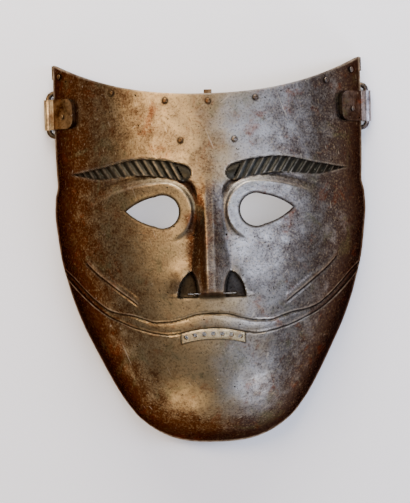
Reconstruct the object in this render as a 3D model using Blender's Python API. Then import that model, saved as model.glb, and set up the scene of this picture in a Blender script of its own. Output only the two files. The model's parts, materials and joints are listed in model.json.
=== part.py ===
"""Steel face mask with rope brows, a chased moustache and two hinged strap loops.

The mask lies on its back: +Z out of the face, +Y to the forehead, +X to the viewer's right, and the floor
at z = 0. It rests on the rims of its cheeks and on the two hinge barrels. Everything is in metres.
"""

import math

import bmesh
import bpy
import numpy as np
from mathutils import Matrix, Vector

# Whole mask
MASK_HEIGHT = 0.2440
MASK_WIDTH = 0.1994
FACE_DEPTH = 0.0715
PLATE = 0.0014
SEAT_GAP = 0.0003
SLIVER = 0.0001
SLOPE_STEP = 0.0005
SMOOTH_ANGLE = 35.0
CUT_PAST = 0.0060

# Plate outline
TOP_DIP = 0.0222
TOP_CURVE = 2.3
CHIN_DROP = 0.0190
CHIN_CURVE = 2.75

# Nose
NOSE_TOP = 0.0500
NOSE_LENGTH = 0.0790
NOSE_HEIGHT = 0.0135
NOSE_HALF_WIDTH = 0.0130
NOSE_FLANK_CURVE = 1.25
WING_OUT = 0.0155
WING_UP = 0.0076
WING_SPREAD = 0.0085
WING_TALL = 0.0098
WING_HEIGHT = 0.0048
WING_STEP = 0.0012
NOSTRIL_IN = 0.0072
NOSTRIL_WIDTH = 0.0138
NOSTRIL_HEIGHT = 0.0180
NOSTRIL_DEPTH = 0.0030
NOSTRIL_WALL = 0.0016
NOSTRIL_INNER_WALL = 0.0026
NOSTRIL_SILL = 0.0013
BREATH_SLOT_LENGTH = 0.0080
BREATH_SLOT_WIDTH = 0.0018
BREATH_SLOT_UP = 0.0022

# Eye pads and eye holes
EYE_OUT = 0.0297
EYE_UP = 0.0255
EYE_RADIUS = 0.0103
EYE_TIP = 0.0231
EYE_TIP_RISE = 0.0010
EYE_SIDE_BULGE = 0.0014
PAD_RADIUS = 0.0202
PAD_REACH = 0.0571
PAD_RISE = 0.0026
PAD_HOLE_RISE = 0.0012
PAD_STEP = 0.0024
PAD_FADE_START = 0.0400
PAD_FADE_END = 0.0780
UNDER_FADE_START = 0.0238
UNDER_FADE_END = 0.0489
VALLEY_DEPTH = 0.0022
VALLEY_WIDTH = 0.0058

# Brows
BROW_IN = 0.0105
BROW_LENGTH = 0.0795
BROW_UP = 0.0515
BROW_THICKNESS = 0.0124
BROW_SINK = 0.0022
BROW_SINK_LOW = 0.0008
BROW_STEP = 0.0012
RIB_HEIGHT = 0.0013
RIB_LEAN = 0.60
RIB_PITCH = 0.0057
RIB_START = 0.0180
RIB_CREST = 2.2
RIBS_CROWDED = 3.2
CROWDING_CURVE = 5

# Moustache and cheek folds
MOUSTACHE_HALF_LENGTH = 0.0940
MOUSTACHE_Y = -0.0391
MOUSTACHE_END_SLOPE = 0.95
MOUSTACHE_ROLL = 0.0004
MOUSTACHE_DIP = 0.0004
GROOVE_DEPTH = 0.0009
GROOVE_WIDTH = 0.0024
FOLD_IN = 0.0450
FOLD_OUT = 0.0820
FOLD_LIP = 0.0007
FOLD_FADE = 0.0040

# Mouth strip
MOUTH_WIDTH = 0.0400
MOUTH_HEIGHT = 0.0062
MOUTH_Y = -0.0521
MOUTH_ARCH = 0.0028
STRIP_FLANGE = 0.0030
STRIP_FLANGE_THICKNESS = 0.0010
STRIP_HOLE = 0.0015
STRIP_HOLES = 7

# Edge band and hanging tab
BAND_WIDTH = 0.0088
BAND_THICKNESS = 0.0010
BAND_END_TURN = 0.0024
BAND_END_DROP = 0.0019
TAB_X = 0.0010
TAB_WIDTH = 0.0051
TAB_LENGTH = 0.0150
TAB_RISE = 0.0030
TAB_THICKNESS = 0.0012
TAB_FREE = 0.0055

# Hinges and strap loops
LEAF_DROP = 0.0317
LEAF_HEIGHT = 0.0196
LEAF_REACH = 0.0145
LEAF_THICKNESS = 0.0024
LEAF_CORNER_HEIGHT = 0.0062
LEAF_CORNER_LENGTH = 0.0037
BARREL_PROUD = 0.0003
LEAF_RIVET_REACH = 0.0079
LEAF_RIVET_DROP = 0.0021
LOOP_BAR = 0.0016
LOOP_CLEARANCE = 0.0003
BARREL_WALL = 0.0010
LOOP_LENGTH = 0.0305
LOOP_WIDTH = 0.0190
LOOP_CORNER = 0.0037

# Rivets
RIVET_HEAD = 0.00175
RIVET_HEAD_HEIGHT = 0.0009
RIVET_HEAD_EDGE = 0.0005
RIVET_CROWN = 0.0014
RIVET_SHANK = 0.0009
RIVET_TAIL = 0.0014
RIVET_TAIL_HEIGHT = 0.0006
RIVET_TAIL_EDGE = 0.0004
RIVET_CLEARANCE = 0.0003
EDGE_RIVET_INSET = 0.0050
FOREHEAD_RIVET_OUT = 0.0170
FOREHEAD_RIVET_DROP = 0.0518

# Mesh fineness
PLATE_COLUMNS = 128
PLATE_ROWS = 150
PLATE_KEEP = 0.083
STRIP_COLUMNS = 14
BAND_COLUMNS = 40
LEAF_COLUMNS = 6
LEAF_ROWS = 4
ROUND_SIDES = 8
BARREL_SIDES = 16

HALF_HEIGHT = MASK_HEIGHT / 2
HALF_WIDTH = MASK_WIDTH / 2
CHIN_Y = -HALF_HEIGHT
JAW_Y = CHIN_Y + CHIN_DROP
LEAF_Y = HALF_HEIGHT - LEAF_DROP
BARREL_RADIUS = LOOP_BAR + LOOP_CLEARANCE + BARREL_WALL

# Height above the chin and half width, as shares of MASK_HEIGHT and of half MASK_WIDTH
OUTLINE = {
    "height": (
        0.078, 0.123, 0.176, 0.246, 0.311, 0.361, 0.418, 0.484,
        0.549, 0.607, 0.648, 0.682, 0.717, 0.787, 0.910, 1.000,
    ),
    "half_width": (
        0.5145, 0.595, 0.670, 0.758, 0.8345, 0.882, 0.925, 0.965,
        0.987, 1.000, 0.995, 0.979, 0.983, 0.987, 0.990, 0.988,
    ),
}

# Height above the chin as a share of MASK_HEIGHT, crown and rim as shares of FACE_DEPTH
PROFILE = {
    "height": (0.000, 0.030, 0.070, 0.120, 0.180, 0.250, 0.340, 0.450, 0.570, 0.700, 0.820, 0.910, 1.000),
    "crown": (0.294, 0.468, 0.629, 0.762, 0.853, 0.909, 0.951, 0.986, 1.000, 0.979, 0.941, 0.902, 0.867),
    "rim": (0.294, 0.273, 0.224, 0.161, 0.098, 0.042, 0.006, 0.018, 0.046, 0.076, 0.084, 0.084, 0.084),
}

# Way down the nose as a share of NOSE_LENGTH, ridge and half width as shares of its height and half width
NOSE = {
    "down": (0.00, 0.18, 0.35, 0.58, 0.78, 0.91, 1.00),
    "ridge": (0.00, 0.08, 0.28, 0.58, 0.85, 1.00, 0.00),
    "half_width": (0.45, 0.55, 0.66, 0.80, 1.00, 1.20, 1.30),
}

# Way along the brow as a share of BROW_LENGTH, its middle's rise and half thickness as shares of BROW_THICKNESS
BROW = {
    "along": (0.00, 0.05, 0.10, 0.20, 0.30, 0.40, 0.50, 0.61, 0.75, 0.86, 0.96, 1.00),
    "rise": (-0.30, -0.24, -0.15, 0.06, 0.15, 0.20, 0.17, 0.07, -0.06, -0.06, -0.03, -0.02),
    "half": (0.05, 0.36, 0.47, 0.50, 0.49, 0.48, 0.46, 0.42, 0.34, 0.20, 0.06, 0.01),
}

# Way out along the moustache, and its two chased lines above MOUSTACHE_Y, as shares of its half length
MOUSTACHE = {
    "out": (0.000, 0.106, 0.202, 0.298, 0.383, 0.468, 0.543, 0.617, 0.691, 0.777, 0.872, 0.936, 1.000),
    "upper": (0.000, -0.010, -0.037, -0.055, -0.056, -0.031, -0.007, 0.005, 0.027, 0.086, 0.176, 0.246, 0.307),
    "lower": (-0.099, -0.112, -0.129, -0.140, -0.129, -0.107, -0.082, -0.048, -0.012, 0.048, 0.134, 0.203, 0.278),
}

# Way out along the cheek fold from FOLD_IN to FOLD_OUT, and its height as a share of FOLD_OUT
FOLD = {
    "out": (0.00, 0.18, 0.37, 0.56, 0.73, 0.89, 1.00),
    "height": (-0.427, -0.360, -0.296, -0.228, -0.165, -0.093, -0.033),
}

# Rivets along the top edge, left to right, as shares of half MASK_WIDTH
TOP_RIVETS = (-0.947, -0.607, -0.263, 0.010, 0.311, 0.766, 0.930)


def curve(at, table, along, column):
    """Smooth reading of a table's column with no overshoot between its rows."""
    places = np.array(table[along])
    values = np.array(table[column])
    steps = np.diff(places)
    rises = np.diff(values) / steps
    slopes = np.zeros(len(places))
    same_way = rises[:-1] * rises[1:] > 0
    total = np.where(same_way, rises[:-1] + rises[1:], 1.0)
    slopes[1:-1] = np.where(same_way, 2 * rises[:-1] * rises[1:] / total, 0.0)
    slopes[0] = rises[0]
    slopes[-1] = rises[-1]
    inside = np.clip(at, places[0], places[-1])
    row = np.clip(np.searchsorted(places, inside, side="right") - 1, 0, len(steps) - 1)
    t = (inside - places[row]) / steps[row]
    start = values[row] * (1 + 2 * t) * (1 - t) ** 2 + slopes[row] * steps[row] * t * (1 - t) ** 2
    end = values[row + 1] * t * t * (3 - 2 * t) - slopes[row + 1] * steps[row] * t * t * (1 - t)
    return start + end


def ease(value):
    """Smooth step from 0 at 0 to 1 at 1."""
    t = np.clip(value, 0.0, 1.0)
    return t * t * (3 - 2 * t)


def half_width(y):
    """Half width of the outline at a height, with the rounded chin below the jaw."""
    sides = HALF_WIDTH * curve((y - CHIN_Y) / MASK_HEIGHT, OUTLINE, "height", "half_width")
    chin = jaw_half_width() * np.clip((y - CHIN_Y) / CHIN_DROP, 0.0, 1.0) ** (1 / CHIN_CURVE)
    return np.where(y < JAW_Y, chin, sides)


def jaw_half_width():
    return HALF_WIDTH * float(curve((JAW_Y - CHIN_Y) / MASK_HEIGHT, OUTLINE, "height", "half_width"))


def top_edge(x):
    """Height of the concave top edge."""
    share = np.abs(x) / (HALF_WIDTH * OUTLINE["half_width"][-1])
    return HALF_HEIGHT - TOP_DIP * (1 - share ** TOP_CURVE)


def base_height(x, y):
    """Plain bowed form of the plate, with a circular arc for each level section."""
    share = (y - CHIN_Y) / MASK_HEIGHT
    crown = FACE_DEPTH * curve(share, PROFILE, "height", "crown")
    rim = FACE_DEPTH * curve(share, PROFILE, "height", "rim")
    bow = np.maximum(crown - rim, SLIVER)
    width = np.maximum(half_width(y), SLIVER)
    radius = (width ** 2 + bow ** 2) / (2 * bow)
    return crown - radius + np.sqrt(np.maximum(radius ** 2 - np.minimum(np.abs(x), width) ** 2, 0.0))


def base_normal(x, y):
    """Outward normals of the plain form, read a little inside its outline."""
    step = SLOPE_STEP
    inside_y = np.clip(y, CHIN_Y + 4 * step, HALF_HEIGHT - step)
    limit = half_width(inside_y) - 3 * step
    inside_x = np.clip(x, -limit, limit)
    slope_x = (base_height(inside_x + step, inside_y) - base_height(inside_x - step, inside_y)) / (2 * step)
    slope_y = (base_height(inside_x, inside_y + step) - base_height(inside_x, inside_y - step)) / (2 * step)
    length = np.sqrt(slope_x ** 2 + slope_y ** 2 + 1)
    return np.stack((-slope_x / length, -slope_y / length, 1 / length), axis=-1)


def nose_form(x, y):
    """Sharp-ridged nose, its wings and the hollows of the nostrils."""
    down = (NOSE_TOP - y) / NOSE_LENGTH
    ridge = NOSE_HEIGHT * curve(down, NOSE, "down", "ridge")
    reach = NOSE_HALF_WIDTH * curve(down, NOSE, "down", "half_width")
    nose = ridge * np.clip(1 - x / reach, 0.0, 1.0) ** NOSE_FLANK_CURVE
    foot = NOSE_TOP - NOSE_LENGTH
    far = ((x - WING_OUT) / WING_SPREAD) ** 2 + ((y - foot - WING_UP) / WING_TALL) ** 2
    wings = WING_HEIGHT * np.exp(-far) * ease((y - foot) / WING_STEP)
    return np.where((down < 0) | (down > 1), 0.0, nose) + wings


def nostril_hollow(x, y):
    """Depth share, 0 to 1, of the arched hollow beside the nose ridge."""
    foot = NOSE_TOP - NOSE_LENGTH
    up = np.clip((y - foot) / NOSTRIL_HEIGHT, 0.0, 1.0)
    arch = NOSTRIL_IN + NOSTRIL_WIDTH * np.sqrt(1 - up ** 2)
    side = ease((arch - x) / NOSTRIL_WALL)
    inner = ease((x - NOSTRIL_IN) / NOSTRIL_INNER_WALL)
    level = ease((y - foot) / NOSTRIL_SILL + 0.5)
    return side * inner * level * np.where(y > foot + NOSTRIL_HEIGHT, 0.0, 1.0)


def pad_edge(x, y):
    """Distance inside the raised pad round an eye, below 0 outside it."""
    from_nose = PAD_RADIUS - np.hypot(x - EYE_OUT, y - EYE_UP)
    narrowing = PAD_RADIUS * ((x - EYE_OUT) / PAD_REACH) ** 2
    outward = PAD_RADIUS - narrowing - np.abs(y - EYE_UP)
    return np.where(x < EYE_OUT, from_nose, outward)


def eye_pad(x, y):
    """Raised pad round an eye and the valley between it, the nose and the brow."""
    inside = pad_edge(x, y)
    upper = 1 - ease((x - PAD_FADE_START) / (PAD_FADE_END - PAD_FADE_START))
    lower = 1 - ease((x - UNDER_FADE_START) / (UNDER_FADE_END - UNDER_FADE_START))
    blend = ease((y - EYE_UP + PAD_RADIUS / 2) / PAD_RADIUS)
    fade = lower * (1 - blend) + upper * blend
    rim = ease(inside / PAD_STEP)
    rise = PAD_RISE + (PAD_HOLE_RISE - PAD_RISE) * ease(inside / (PAD_RADIUS - EYE_RADIUS))
    valley = np.sin(np.pi * np.clip(-inside / VALLEY_WIDTH, 0.0, 1.0)) * fade
    return rise * rim * fade - VALLEY_DEPTH * valley


def brow_place(x, y):
    """Share along a brow, place across it from -1 to 1, and half thickness."""
    along = (x - BROW_IN) / BROW_LENGTH
    middle = BROW_UP + BROW_THICKNESS * curve(along, BROW, "along", "rise")
    half = BROW_THICKNESS * curve(along, BROW, "along", "half")
    return along, (y - middle) / half, half


def brow_sink(x, y):
    """Sunk band of a brow, deepest under its sharp upper ledge."""
    along, across, half = brow_place(x, y)
    inside = ease((1 - np.abs(across)) * half / BROW_STEP)
    depth = BROW_SINK_LOW + (BROW_SINK - BROW_SINK_LOW) * np.clip((across + 1) / 2, 0.0, 1.0)
    return -depth * inside * np.where((along < 0) | (along > 1), 0.0, 1.0)


def brow_ribs(x, y):
    """Leaning rope ribs that fill a brow, with a plain round blob at the inner end."""
    along, across, half = brow_place(x, y)
    inside = ease((1 - np.abs(across)) * half / BROW_STEP)
    from_start = x - RIB_START - RIB_LEAN * across * half
    far = np.clip(from_start / BROW_LENGTH, 0.0, 1.0)
    turns = from_start / RIB_PITCH + RIBS_CROWDED * far ** CROWDING_CURVE
    rib = 1 - np.abs(2 * (turns % 1.0) - 1) ** RIB_CREST
    blob = np.clip(1 - across ** 2, 0.0, 1.0)
    raised = RIB_HEIGHT * np.where(from_start < 0, blob, rib)
    return raised * inside * np.where((along < 0) | (along > 1), 0.0, 1.0)


def groove(distance):
    """Round-bottomed chased line."""
    return -GROOVE_DEPTH * np.clip(1 - (2 * distance / GROOVE_WIDTH) ** 2, 0.0, 1.0)


def moustache_lines(x):
    out = x / MOUSTACHE_HALF_LENGTH
    upper = MOUSTACHE_Y + MOUSTACHE_HALF_LENGTH * curve(out, MOUSTACHE, "out", "upper")
    lower = MOUSTACHE_Y + MOUSTACHE_HALF_LENGTH * curve(out, MOUSTACHE, "out", "lower")
    return upper, lower


def moustache(x, y):
    """Slightly rolled band between two chased lines."""
    upper, lower = moustache_lines(x)
    lean = 1 / np.hypot(1.0, MOUSTACHE_END_SLOPE * ease((x - FOLD_IN) / FOLD_IN))
    across = np.clip((y - lower) / (upper - lower), 0.0, 1.0)
    roll = 4 * MOUSTACHE_ROLL * across * (1 - across) - MOUSTACHE_DIP * across
    return groove((y - upper) * lean) + groove((y - lower) * lean) + roll * ((y > lower) & (y < upper))


def cheek_fold(x, y):
    """Chased crease from the cheekbone down to the moustache, with a raised upper lip."""
    out = (x - FOLD_IN) / (FOLD_OUT - FOLD_IN)
    line = FOLD_OUT * curve(out, FOLD, "out", "height")
    steepness = FOLD_OUT * (FOLD["height"][-1] - FOLD["height"][0]) / (FOLD_OUT - FOLD_IN)
    distance = (y - line) / math.hypot(1.0, steepness)
    ends = ease((x - FOLD_IN) / FOLD_FADE) * ease((FOLD_OUT - x) / FOLD_FADE)
    lip = FOLD_LIP * np.clip(1 - ((distance - GROOVE_WIDTH) / GROOVE_WIDTH) ** 2, 0.0, 1.0)
    return (groove(distance) + lip) * ends


def forms(x, y):
    """Main forms beaten into the plate, which its inside follows too."""
    side = np.abs(x)
    raised = nose_form(side, y) + eye_pad(side, y) * ease((side - NOSTRIL_IN) / (NOSTRIL_IN / 2))
    hollow = nostril_hollow(side, y)
    raised = raised * (1 - hollow) - NOSTRIL_DEPTH * hollow
    return raised + brow_sink(side, y)


def chasing(x, y):
    """Fine lines and ribs on the outer face alone."""
    side = np.abs(x)
    return brow_ribs(side, y) + moustache(side, y) + cheek_fold(side, y)


def steel(name, colour, roughness):
    made = bpy.data.materials.new(name)
    made.use_nodes = True
    shader = made.node_tree.nodes["Principled BSDF"]
    shader.inputs["Base Color"].default_value = (*colour, 1.0)
    shader.inputs["Metallic"].default_value = 1.0
    shader.inputs["Roughness"].default_value = roughness
    made.diffuse_color = (*colour, 1.0)
    return made


def patinated_steel():
    return steel("patinated_steel", (0.13, 0.085, 0.055), 0.42)


def band_steel():
    return steel("band_steel", (0.11, 0.080, 0.055), 0.45)


def pierced_steel():
    return steel("pierced_steel", (0.55, 0.50, 0.42), 0.35)


def hinge_steel():
    return steel("hinge_steel", (0.25, 0.19, 0.14), 0.40)


def loop_wire():
    return steel("loop_wire", (0.20, 0.16, 0.12), 0.38)


def rivet_steel():
    return steel("rivet_steel", (0.12, 0.085, 0.060), 0.40)


def new_object(name, mesh, finish):
    """Object from a mesh, with its normals pointing out and its round faces smooth."""
    shell = bmesh.new()
    shell.from_mesh(mesh)
    bmesh.ops.recalc_face_normals(shell, faces=shell.faces)
    shell.to_mesh(mesh)
    shell.free()
    piece = bpy.data.objects.new(name, mesh)
    bpy.context.collection.objects.link(piece)
    if finish is not None:
        mesh.materials.append(finish)
    mesh.shade_smooth()
    mesh.set_sharp_from_angle(angle=math.radians(SMOOTH_ANGLE))
    return piece


def sheet_mesh(name, outer, inner):
    """Closed sheet between two grids of points of the same size."""
    rows, columns = outer.shape[:2]
    points = np.concatenate((outer.reshape(-1, 3), inner.reshape(-1, 3)))
    half = rows * columns
    faces = []
    for row in range(rows - 1):
        for column in range(columns - 1):
            corner = row * columns + column
            quad = (corner, corner + 1, corner + columns + 1, corner + columns)
            faces.append(quad)
            faces.append(tuple(half + index for index in reversed(quad)))
    edge = list(range(columns))
    edge += [row * columns + columns - 1 for row in range(1, rows)]
    edge += [(rows - 1) * columns + column for column in range(columns - 2, -1, -1)]
    edge += [row * columns for row in range(rows - 2, 0, -1)]
    for here, there in zip(edge, edge[1:] + edge[:1]):
        faces.append((there, here, half + here, half + there))
    mesh = bpy.data.meshes.new(name)
    mesh.from_pydata([tuple(point) for point in points], [], faces)
    return mesh


def plate_grid(columns, rows):
    """Places of the plate's points: columns run from the top edge to the chin."""
    jaw = jaw_half_width()
    across = np.linspace(-1.0, 1.0, columns + 1)
    down = np.linspace(0.0, 1.0, rows + 1)
    share_x, share_y = np.meshgrid(across, down)
    side_y = HALF_HEIGHT + (JAW_Y - HALF_HEIGHT) * share_y
    x = share_x * half_width(side_y)
    top = top_edge(share_x * HALF_WIDTH * OUTLINE["half_width"][-1])
    chin = CHIN_Y + CHIN_DROP * np.abs(share_x) ** CHIN_CURVE
    y = top * (1 - share_y) + chin * share_y
    x[-1] = share_x[-1] * jaw
    return x, y


def lowest_around(values):
    """Lowest of each grid point and the eight round it, so steep walls keep their thickness."""
    padded = np.pad(values, 1, mode="edge")
    rows, columns = values.shape
    shifted = [padded[a:a + rows, b:b + columns] for a in range(3) for b in range(3)]
    return np.min(shifted, axis=0)


def surface(x, y, offset=0.0):
    """Point at a signed distance from the plain form, along its normal."""
    normal = base_normal(x, y)
    point = np.stack((x, y, base_height(x, y)), axis=-1)
    return point + normal * offset


def add_modifier(piece, kind, **settings):
    modifier = piece.modifiers.new(kind.title(), kind)
    for key, value in settings.items():
        setattr(modifier, key, value)
    return modifier


def join_cutters(name, meshes):
    """One wire-drawn cutter out of several closed meshes that stand apart."""
    joined = bmesh.new()
    for mesh in meshes:
        joined.from_mesh(mesh)
        bpy.data.meshes.remove(mesh)
    whole = bpy.data.meshes.new(name)
    joined.to_mesh(whole)
    joined.free()
    cutter = new_object(name, whole, None)
    cutter.hide_render = True
    cutter.display_type = "WIRE"
    return cutter


def prism_mesh(outline, low, high):
    """Upright prism on a closed outline of (x, y) points."""
    body = bmesh.new()
    floor = [body.verts.new((x, y, low)) for x, y in outline]
    face = body.faces.new(floor)
    raised = bmesh.ops.extrude_face_region(body, geom=[face])
    moved = [item for item in raised["geom"] if isinstance(item, bmesh.types.BMVert)]
    bmesh.ops.translate(body, verts=moved, vec=(0, 0, high - low))
    mesh = bpy.data.meshes.new("prism")
    body.to_mesh(mesh)
    body.free()
    return mesh


def turned_mesh(profile, place, sides):
    """Solid turned from (radius, height) points about the place's own Z."""
    body = bmesh.new()
    rings = []
    for radius, height in profile:
        if radius == 0:
            rings.append([body.verts.new(place @ Vector((0, 0, height)))])
            continue
        ring = []
        for side in range(sides):
            angle = 2 * math.pi * side / sides
            point = Vector((radius * math.cos(angle), radius * math.sin(angle), height))
            ring.append(body.verts.new(place @ point))
        rings.append(ring)
    for lower, upper in zip(rings, rings[1:]):
        for side in range(sides):
            after = (side + 1) % sides
            corners = [lower[side % len(lower)], lower[after % len(lower)]]
            corners += [upper[after % len(upper)], upper[side % len(upper)]]
            body.faces.new(list(dict.fromkeys(corners)))
    mesh = bpy.data.meshes.new("turned")
    body.to_mesh(mesh)
    body.free()
    return mesh


def upright_on_plate(x, y):
    """Frame whose origin is on the plain outer face at (x, y) and whose Z is its normal."""
    point = surface(np.array(x), np.array(y))
    normal = Vector(base_normal(np.array(x), np.array(y)))
    turn = Vector((0, 0, 1)).rotation_difference(normal).to_matrix().to_4x4()
    return Matrix.Translation(Vector(point)) @ turn


def teardrop(centre_x, centre_y, radius, tip, tip_rise, bulge, side):
    """Eye outline: a circle drawn out to a tip, with slightly bowed sides."""
    reach = math.hypot(tip, tip_rise)
    lean = math.atan2(tip_rise, tip)
    open_angle = math.acos(radius / reach)
    points = []
    arc_steps = 16
    for step in range(arc_steps + 1):
        angle = lean + open_angle + (2 * math.pi - 2 * open_angle) * step / arc_steps
        points.append((radius * math.cos(angle), radius * math.sin(angle)))
    tip_point = (tip, tip_rise)
    side_steps = 5
    lower = points[-1]
    upper = points[0]
    for step in range(1, side_steps + 1):
        points.append(bowed(lower, tip_point, step / side_steps, bulge))
    for step in range(1, side_steps):
        points.append(bowed(tip_point, upper, step / side_steps, bulge))
    return [(side * (centre_x + x), centre_y + y) for x, y in points]


def bowed(start, end, share, bulge):
    """Point along a line between two points, pushed out to the right of its way by a bulge."""
    run = (end[0] - start[0], end[1] - start[1])
    length = math.hypot(*run)
    push = bulge * 4 * share * (1 - share) / length
    return (start[0] + run[0] * share + run[1] * push, start[1] + run[1] * share - run[0] * push)


def mouth_y(x):
    """Middle of the arched mouth slot."""
    return MOUTH_Y - MOUTH_ARCH * (2 * x / MOUTH_WIDTH) ** 2


def mouth_outline(grow):
    """Arched mouth slot, or the strip in it, grown by a margin all round."""
    steps = 10
    half = MOUTH_WIDTH / 2 + grow
    xs = [half * (2 * step / steps - 1) for step in range(steps + 1)]
    thick = MOUTH_HEIGHT / 2 + grow
    upper = [(x, mouth_y(x) + thick) for x in reversed(xs)]
    lower = [(x, mouth_y(x) - thick) for x in xs]
    return lower + upper


def slot_outline(centre_x, centre_y, length, width):
    half_length = length / 2
    half = width / 2
    return [
        (centre_x - half_length, centre_y - half),
        (centre_x + half_length, centre_y - half),
        (centre_x + half_length, centre_y + half),
        (centre_x - half_length, centre_y + half),
    ]


def rivet_places():
    """Name, x, y and outer offset of each rivet."""
    places = []
    for number, share in enumerate(TOP_RIVETS, start=1):
        x = share * HALF_WIDTH
        slope = float(top_edge(x + SLOPE_STEP) - top_edge(x - SLOPE_STEP)) / (2 * SLOPE_STEP)
        inset = EDGE_RIVET_INSET * math.hypot(1.0, slope)
        places.append((f"top_rivet_{number}", x, float(top_edge(x)) - inset, 0.0))
    forehead_y = HALF_HEIGHT - FOREHEAD_RIVET_DROP
    places.append(("forehead_rivet_1", -FOREHEAD_RIVET_OUT, forehead_y, 0.0))
    places.append(("forehead_rivet_2", FOREHEAD_RIVET_OUT, forehead_y, 0.0))
    above = SEAT_GAP + LEAF_THICKNESS
    hinge_x, hinge_y = hinge_rivet()
    places.append(("hinge_rivet_left", -hinge_x, hinge_y, above))
    places.append(("hinge_rivet_right", hinge_x, hinge_y, above))
    return places


def hinge_rivet():
    return float(half_width(np.array(LEAF_Y))) - LEAF_RIVET_REACH, LEAF_Y - LEAF_RIVET_DROP


def rivet_hole(x, y, high, low):
    frame = upright_on_plate(x, y)
    radius = (RIVET_SHANK + RIVET_CLEARANCE) / math.cos(math.pi / ROUND_SIDES)
    return turned_mesh([(0, low), (radius, low), (radius, high), (0, high)], frame, ROUND_SIDES)


def make_mask_plate(finish):
    """Bowed plate with nose, eye pads, brows, moustache and folds raised, thinned, then pierced."""
    x, y = plate_grid(PLATE_COLUMNS, PLATE_ROWS)
    height = base_height(x, y)
    form = forms(x, y)
    outer = np.stack((x, y, height + form + chasing(x, y)), axis=-1)
    inner = np.stack((x, y, height + lowest_around(form)), axis=-1) - base_normal(x, y) * PLATE
    plate = new_object("mask_plate", sheet_mesh("mask_plate", outer, inner), finish)
    add_modifier(plate, "DECIMATE", ratio=PLATE_KEEP, use_symmetry=True, symmetry_axis="X")
    cutter = join_cutters("plate_cutter", plate_openings())
    add_modifier(plate, "BOOLEAN", object=cutter, operation="DIFFERENCE", solver="EXACT")
    return plate


def plate_openings():
    """Eye holes, mouth slot, breath slots and rivet holes, each a closed prism or cylinder."""
    low = FACE_DEPTH / 2
    top = FACE_DEPTH + NOSE_HEIGHT + CUT_PAST
    cuts = []
    for side in (-1, 1):
        eye = teardrop(EYE_OUT, EYE_UP, EYE_RADIUS, EYE_TIP, EYE_TIP_RISE, EYE_SIDE_BULGE, side)
        cuts.append(prism_mesh(eye, low, top))
        slot_x = side * (NOSTRIL_IN + BREATH_SLOT_LENGTH / 2)
        slot_y = NOSE_TOP - NOSE_LENGTH + BREATH_SLOT_UP
        slot = slot_outline(slot_x, slot_y, BREATH_SLOT_LENGTH, BREATH_SLOT_WIDTH)
        cuts.append(prism_mesh(slot, low, top))
    cuts.append(prism_mesh(mouth_outline(SEAT_GAP), low, top))
    for _, rivet_x, rivet_y, _ in rivet_places():
        cuts.append(rivet_hole(rivet_x, rivet_y, CUT_PAST, -CUT_PAST))
    return cuts


def make_mouth_strip(finish):
    """Pierced strip that fills the mouth slot, with a flange behind the plate."""
    columns = np.linspace(-1.0, 1.0, STRIP_COLUMNS + 1)
    back = PLATE + SEAT_GAP
    face = strip_body(columns, 0.0, PLATE / 2, -back - STRIP_FLANGE_THICKNESS / 2)
    flange = strip_body(columns, STRIP_FLANGE, -back, -back - STRIP_FLANGE_THICKNESS)
    strip = new_object("mouth_strip", face, finish)
    flange_object = join_cutters("strip_flange", [flange])
    add_modifier(strip, "BOOLEAN", object=flange_object, operation="UNION", solver="EXACT")
    holes = []
    for number in range(STRIP_HOLES):
        x = MOUTH_WIDTH * ((number + 0.5) / STRIP_HOLES - 0.5)
        frame = upright_on_plate(x, float(mouth_y(x)))
        profile = [(0, -CUT_PAST), (STRIP_HOLE, -CUT_PAST), (STRIP_HOLE, CUT_PAST), (0, CUT_PAST)]
        holes.append(turned_mesh(profile, frame, ROUND_SIDES))
    cutter = join_cutters("strip_hole_cutter", holes)
    add_modifier(strip, "BOOLEAN", object=cutter, operation="DIFFERENCE", solver="EXACT")
    return strip


def strip_body(columns, grow, high, low):
    """Arched strip that follows the plain form between two offsets."""
    half = MOUTH_WIDTH / 2 + grow
    thick = MOUTH_HEIGHT / 2 + grow
    x, across = np.meshgrid(columns * half, np.linspace(1.0, -1.0, 3))
    y = mouth_y(x) + across * thick
    return sheet_mesh("strip", surface(x, y, high), surface(x, y, low))


def make_edge_band(finish):
    """Narrow band inside the top edge, riveted through the plate."""
    reach = HALF_WIDTH * OUTLINE["half_width"][-1]
    x, down = np.meshgrid(np.linspace(-reach, reach, BAND_COLUMNS + 1), np.linspace(0.0, 1.0, 3))
    y = top_edge(x) - SEAT_GAP - down * BAND_WIDTH
    x = np.clip(x, -half_width(y), half_width(y))
    front = band_face(x, y, -PLATE - SEAT_GAP)
    back = band_face(x, y, -PLATE - SEAT_GAP - BAND_THICKNESS)
    band = new_object("edge_band", sheet_mesh("edge_band", front, back), finish)
    holes = []
    for name, rivet_x, rivet_y, _ in rivet_places():
        if name.startswith("top_"):
            holes.append(rivet_hole(rivet_x, rivet_y, CUT_PAST, -CUT_PAST))
    cutter = join_cutters("band_cutter", holes)
    add_modifier(band, "BOOLEAN", object=cutter, operation="DIFFERENCE", solver="EXACT")
    return band


def band_face(x, y, offset):
    """One face of the band, whose ends are turned out past the plate's sides."""
    face = surface(x, y, offset)
    left = face[:, :1] + np.array((-BAND_END_TURN, 0.0, -BAND_END_DROP))
    right = face[:, -1:] + np.array((BAND_END_TURN, 0.0, -BAND_END_DROP))
    return np.concatenate((left, face, right), axis=1)


def tab_frame():
    """Frame at the top edge above the middle rivet."""
    return upright_on_plate(TAB_X, float(top_edge(TAB_X)) - EDGE_RIVET_INSET)


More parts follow.
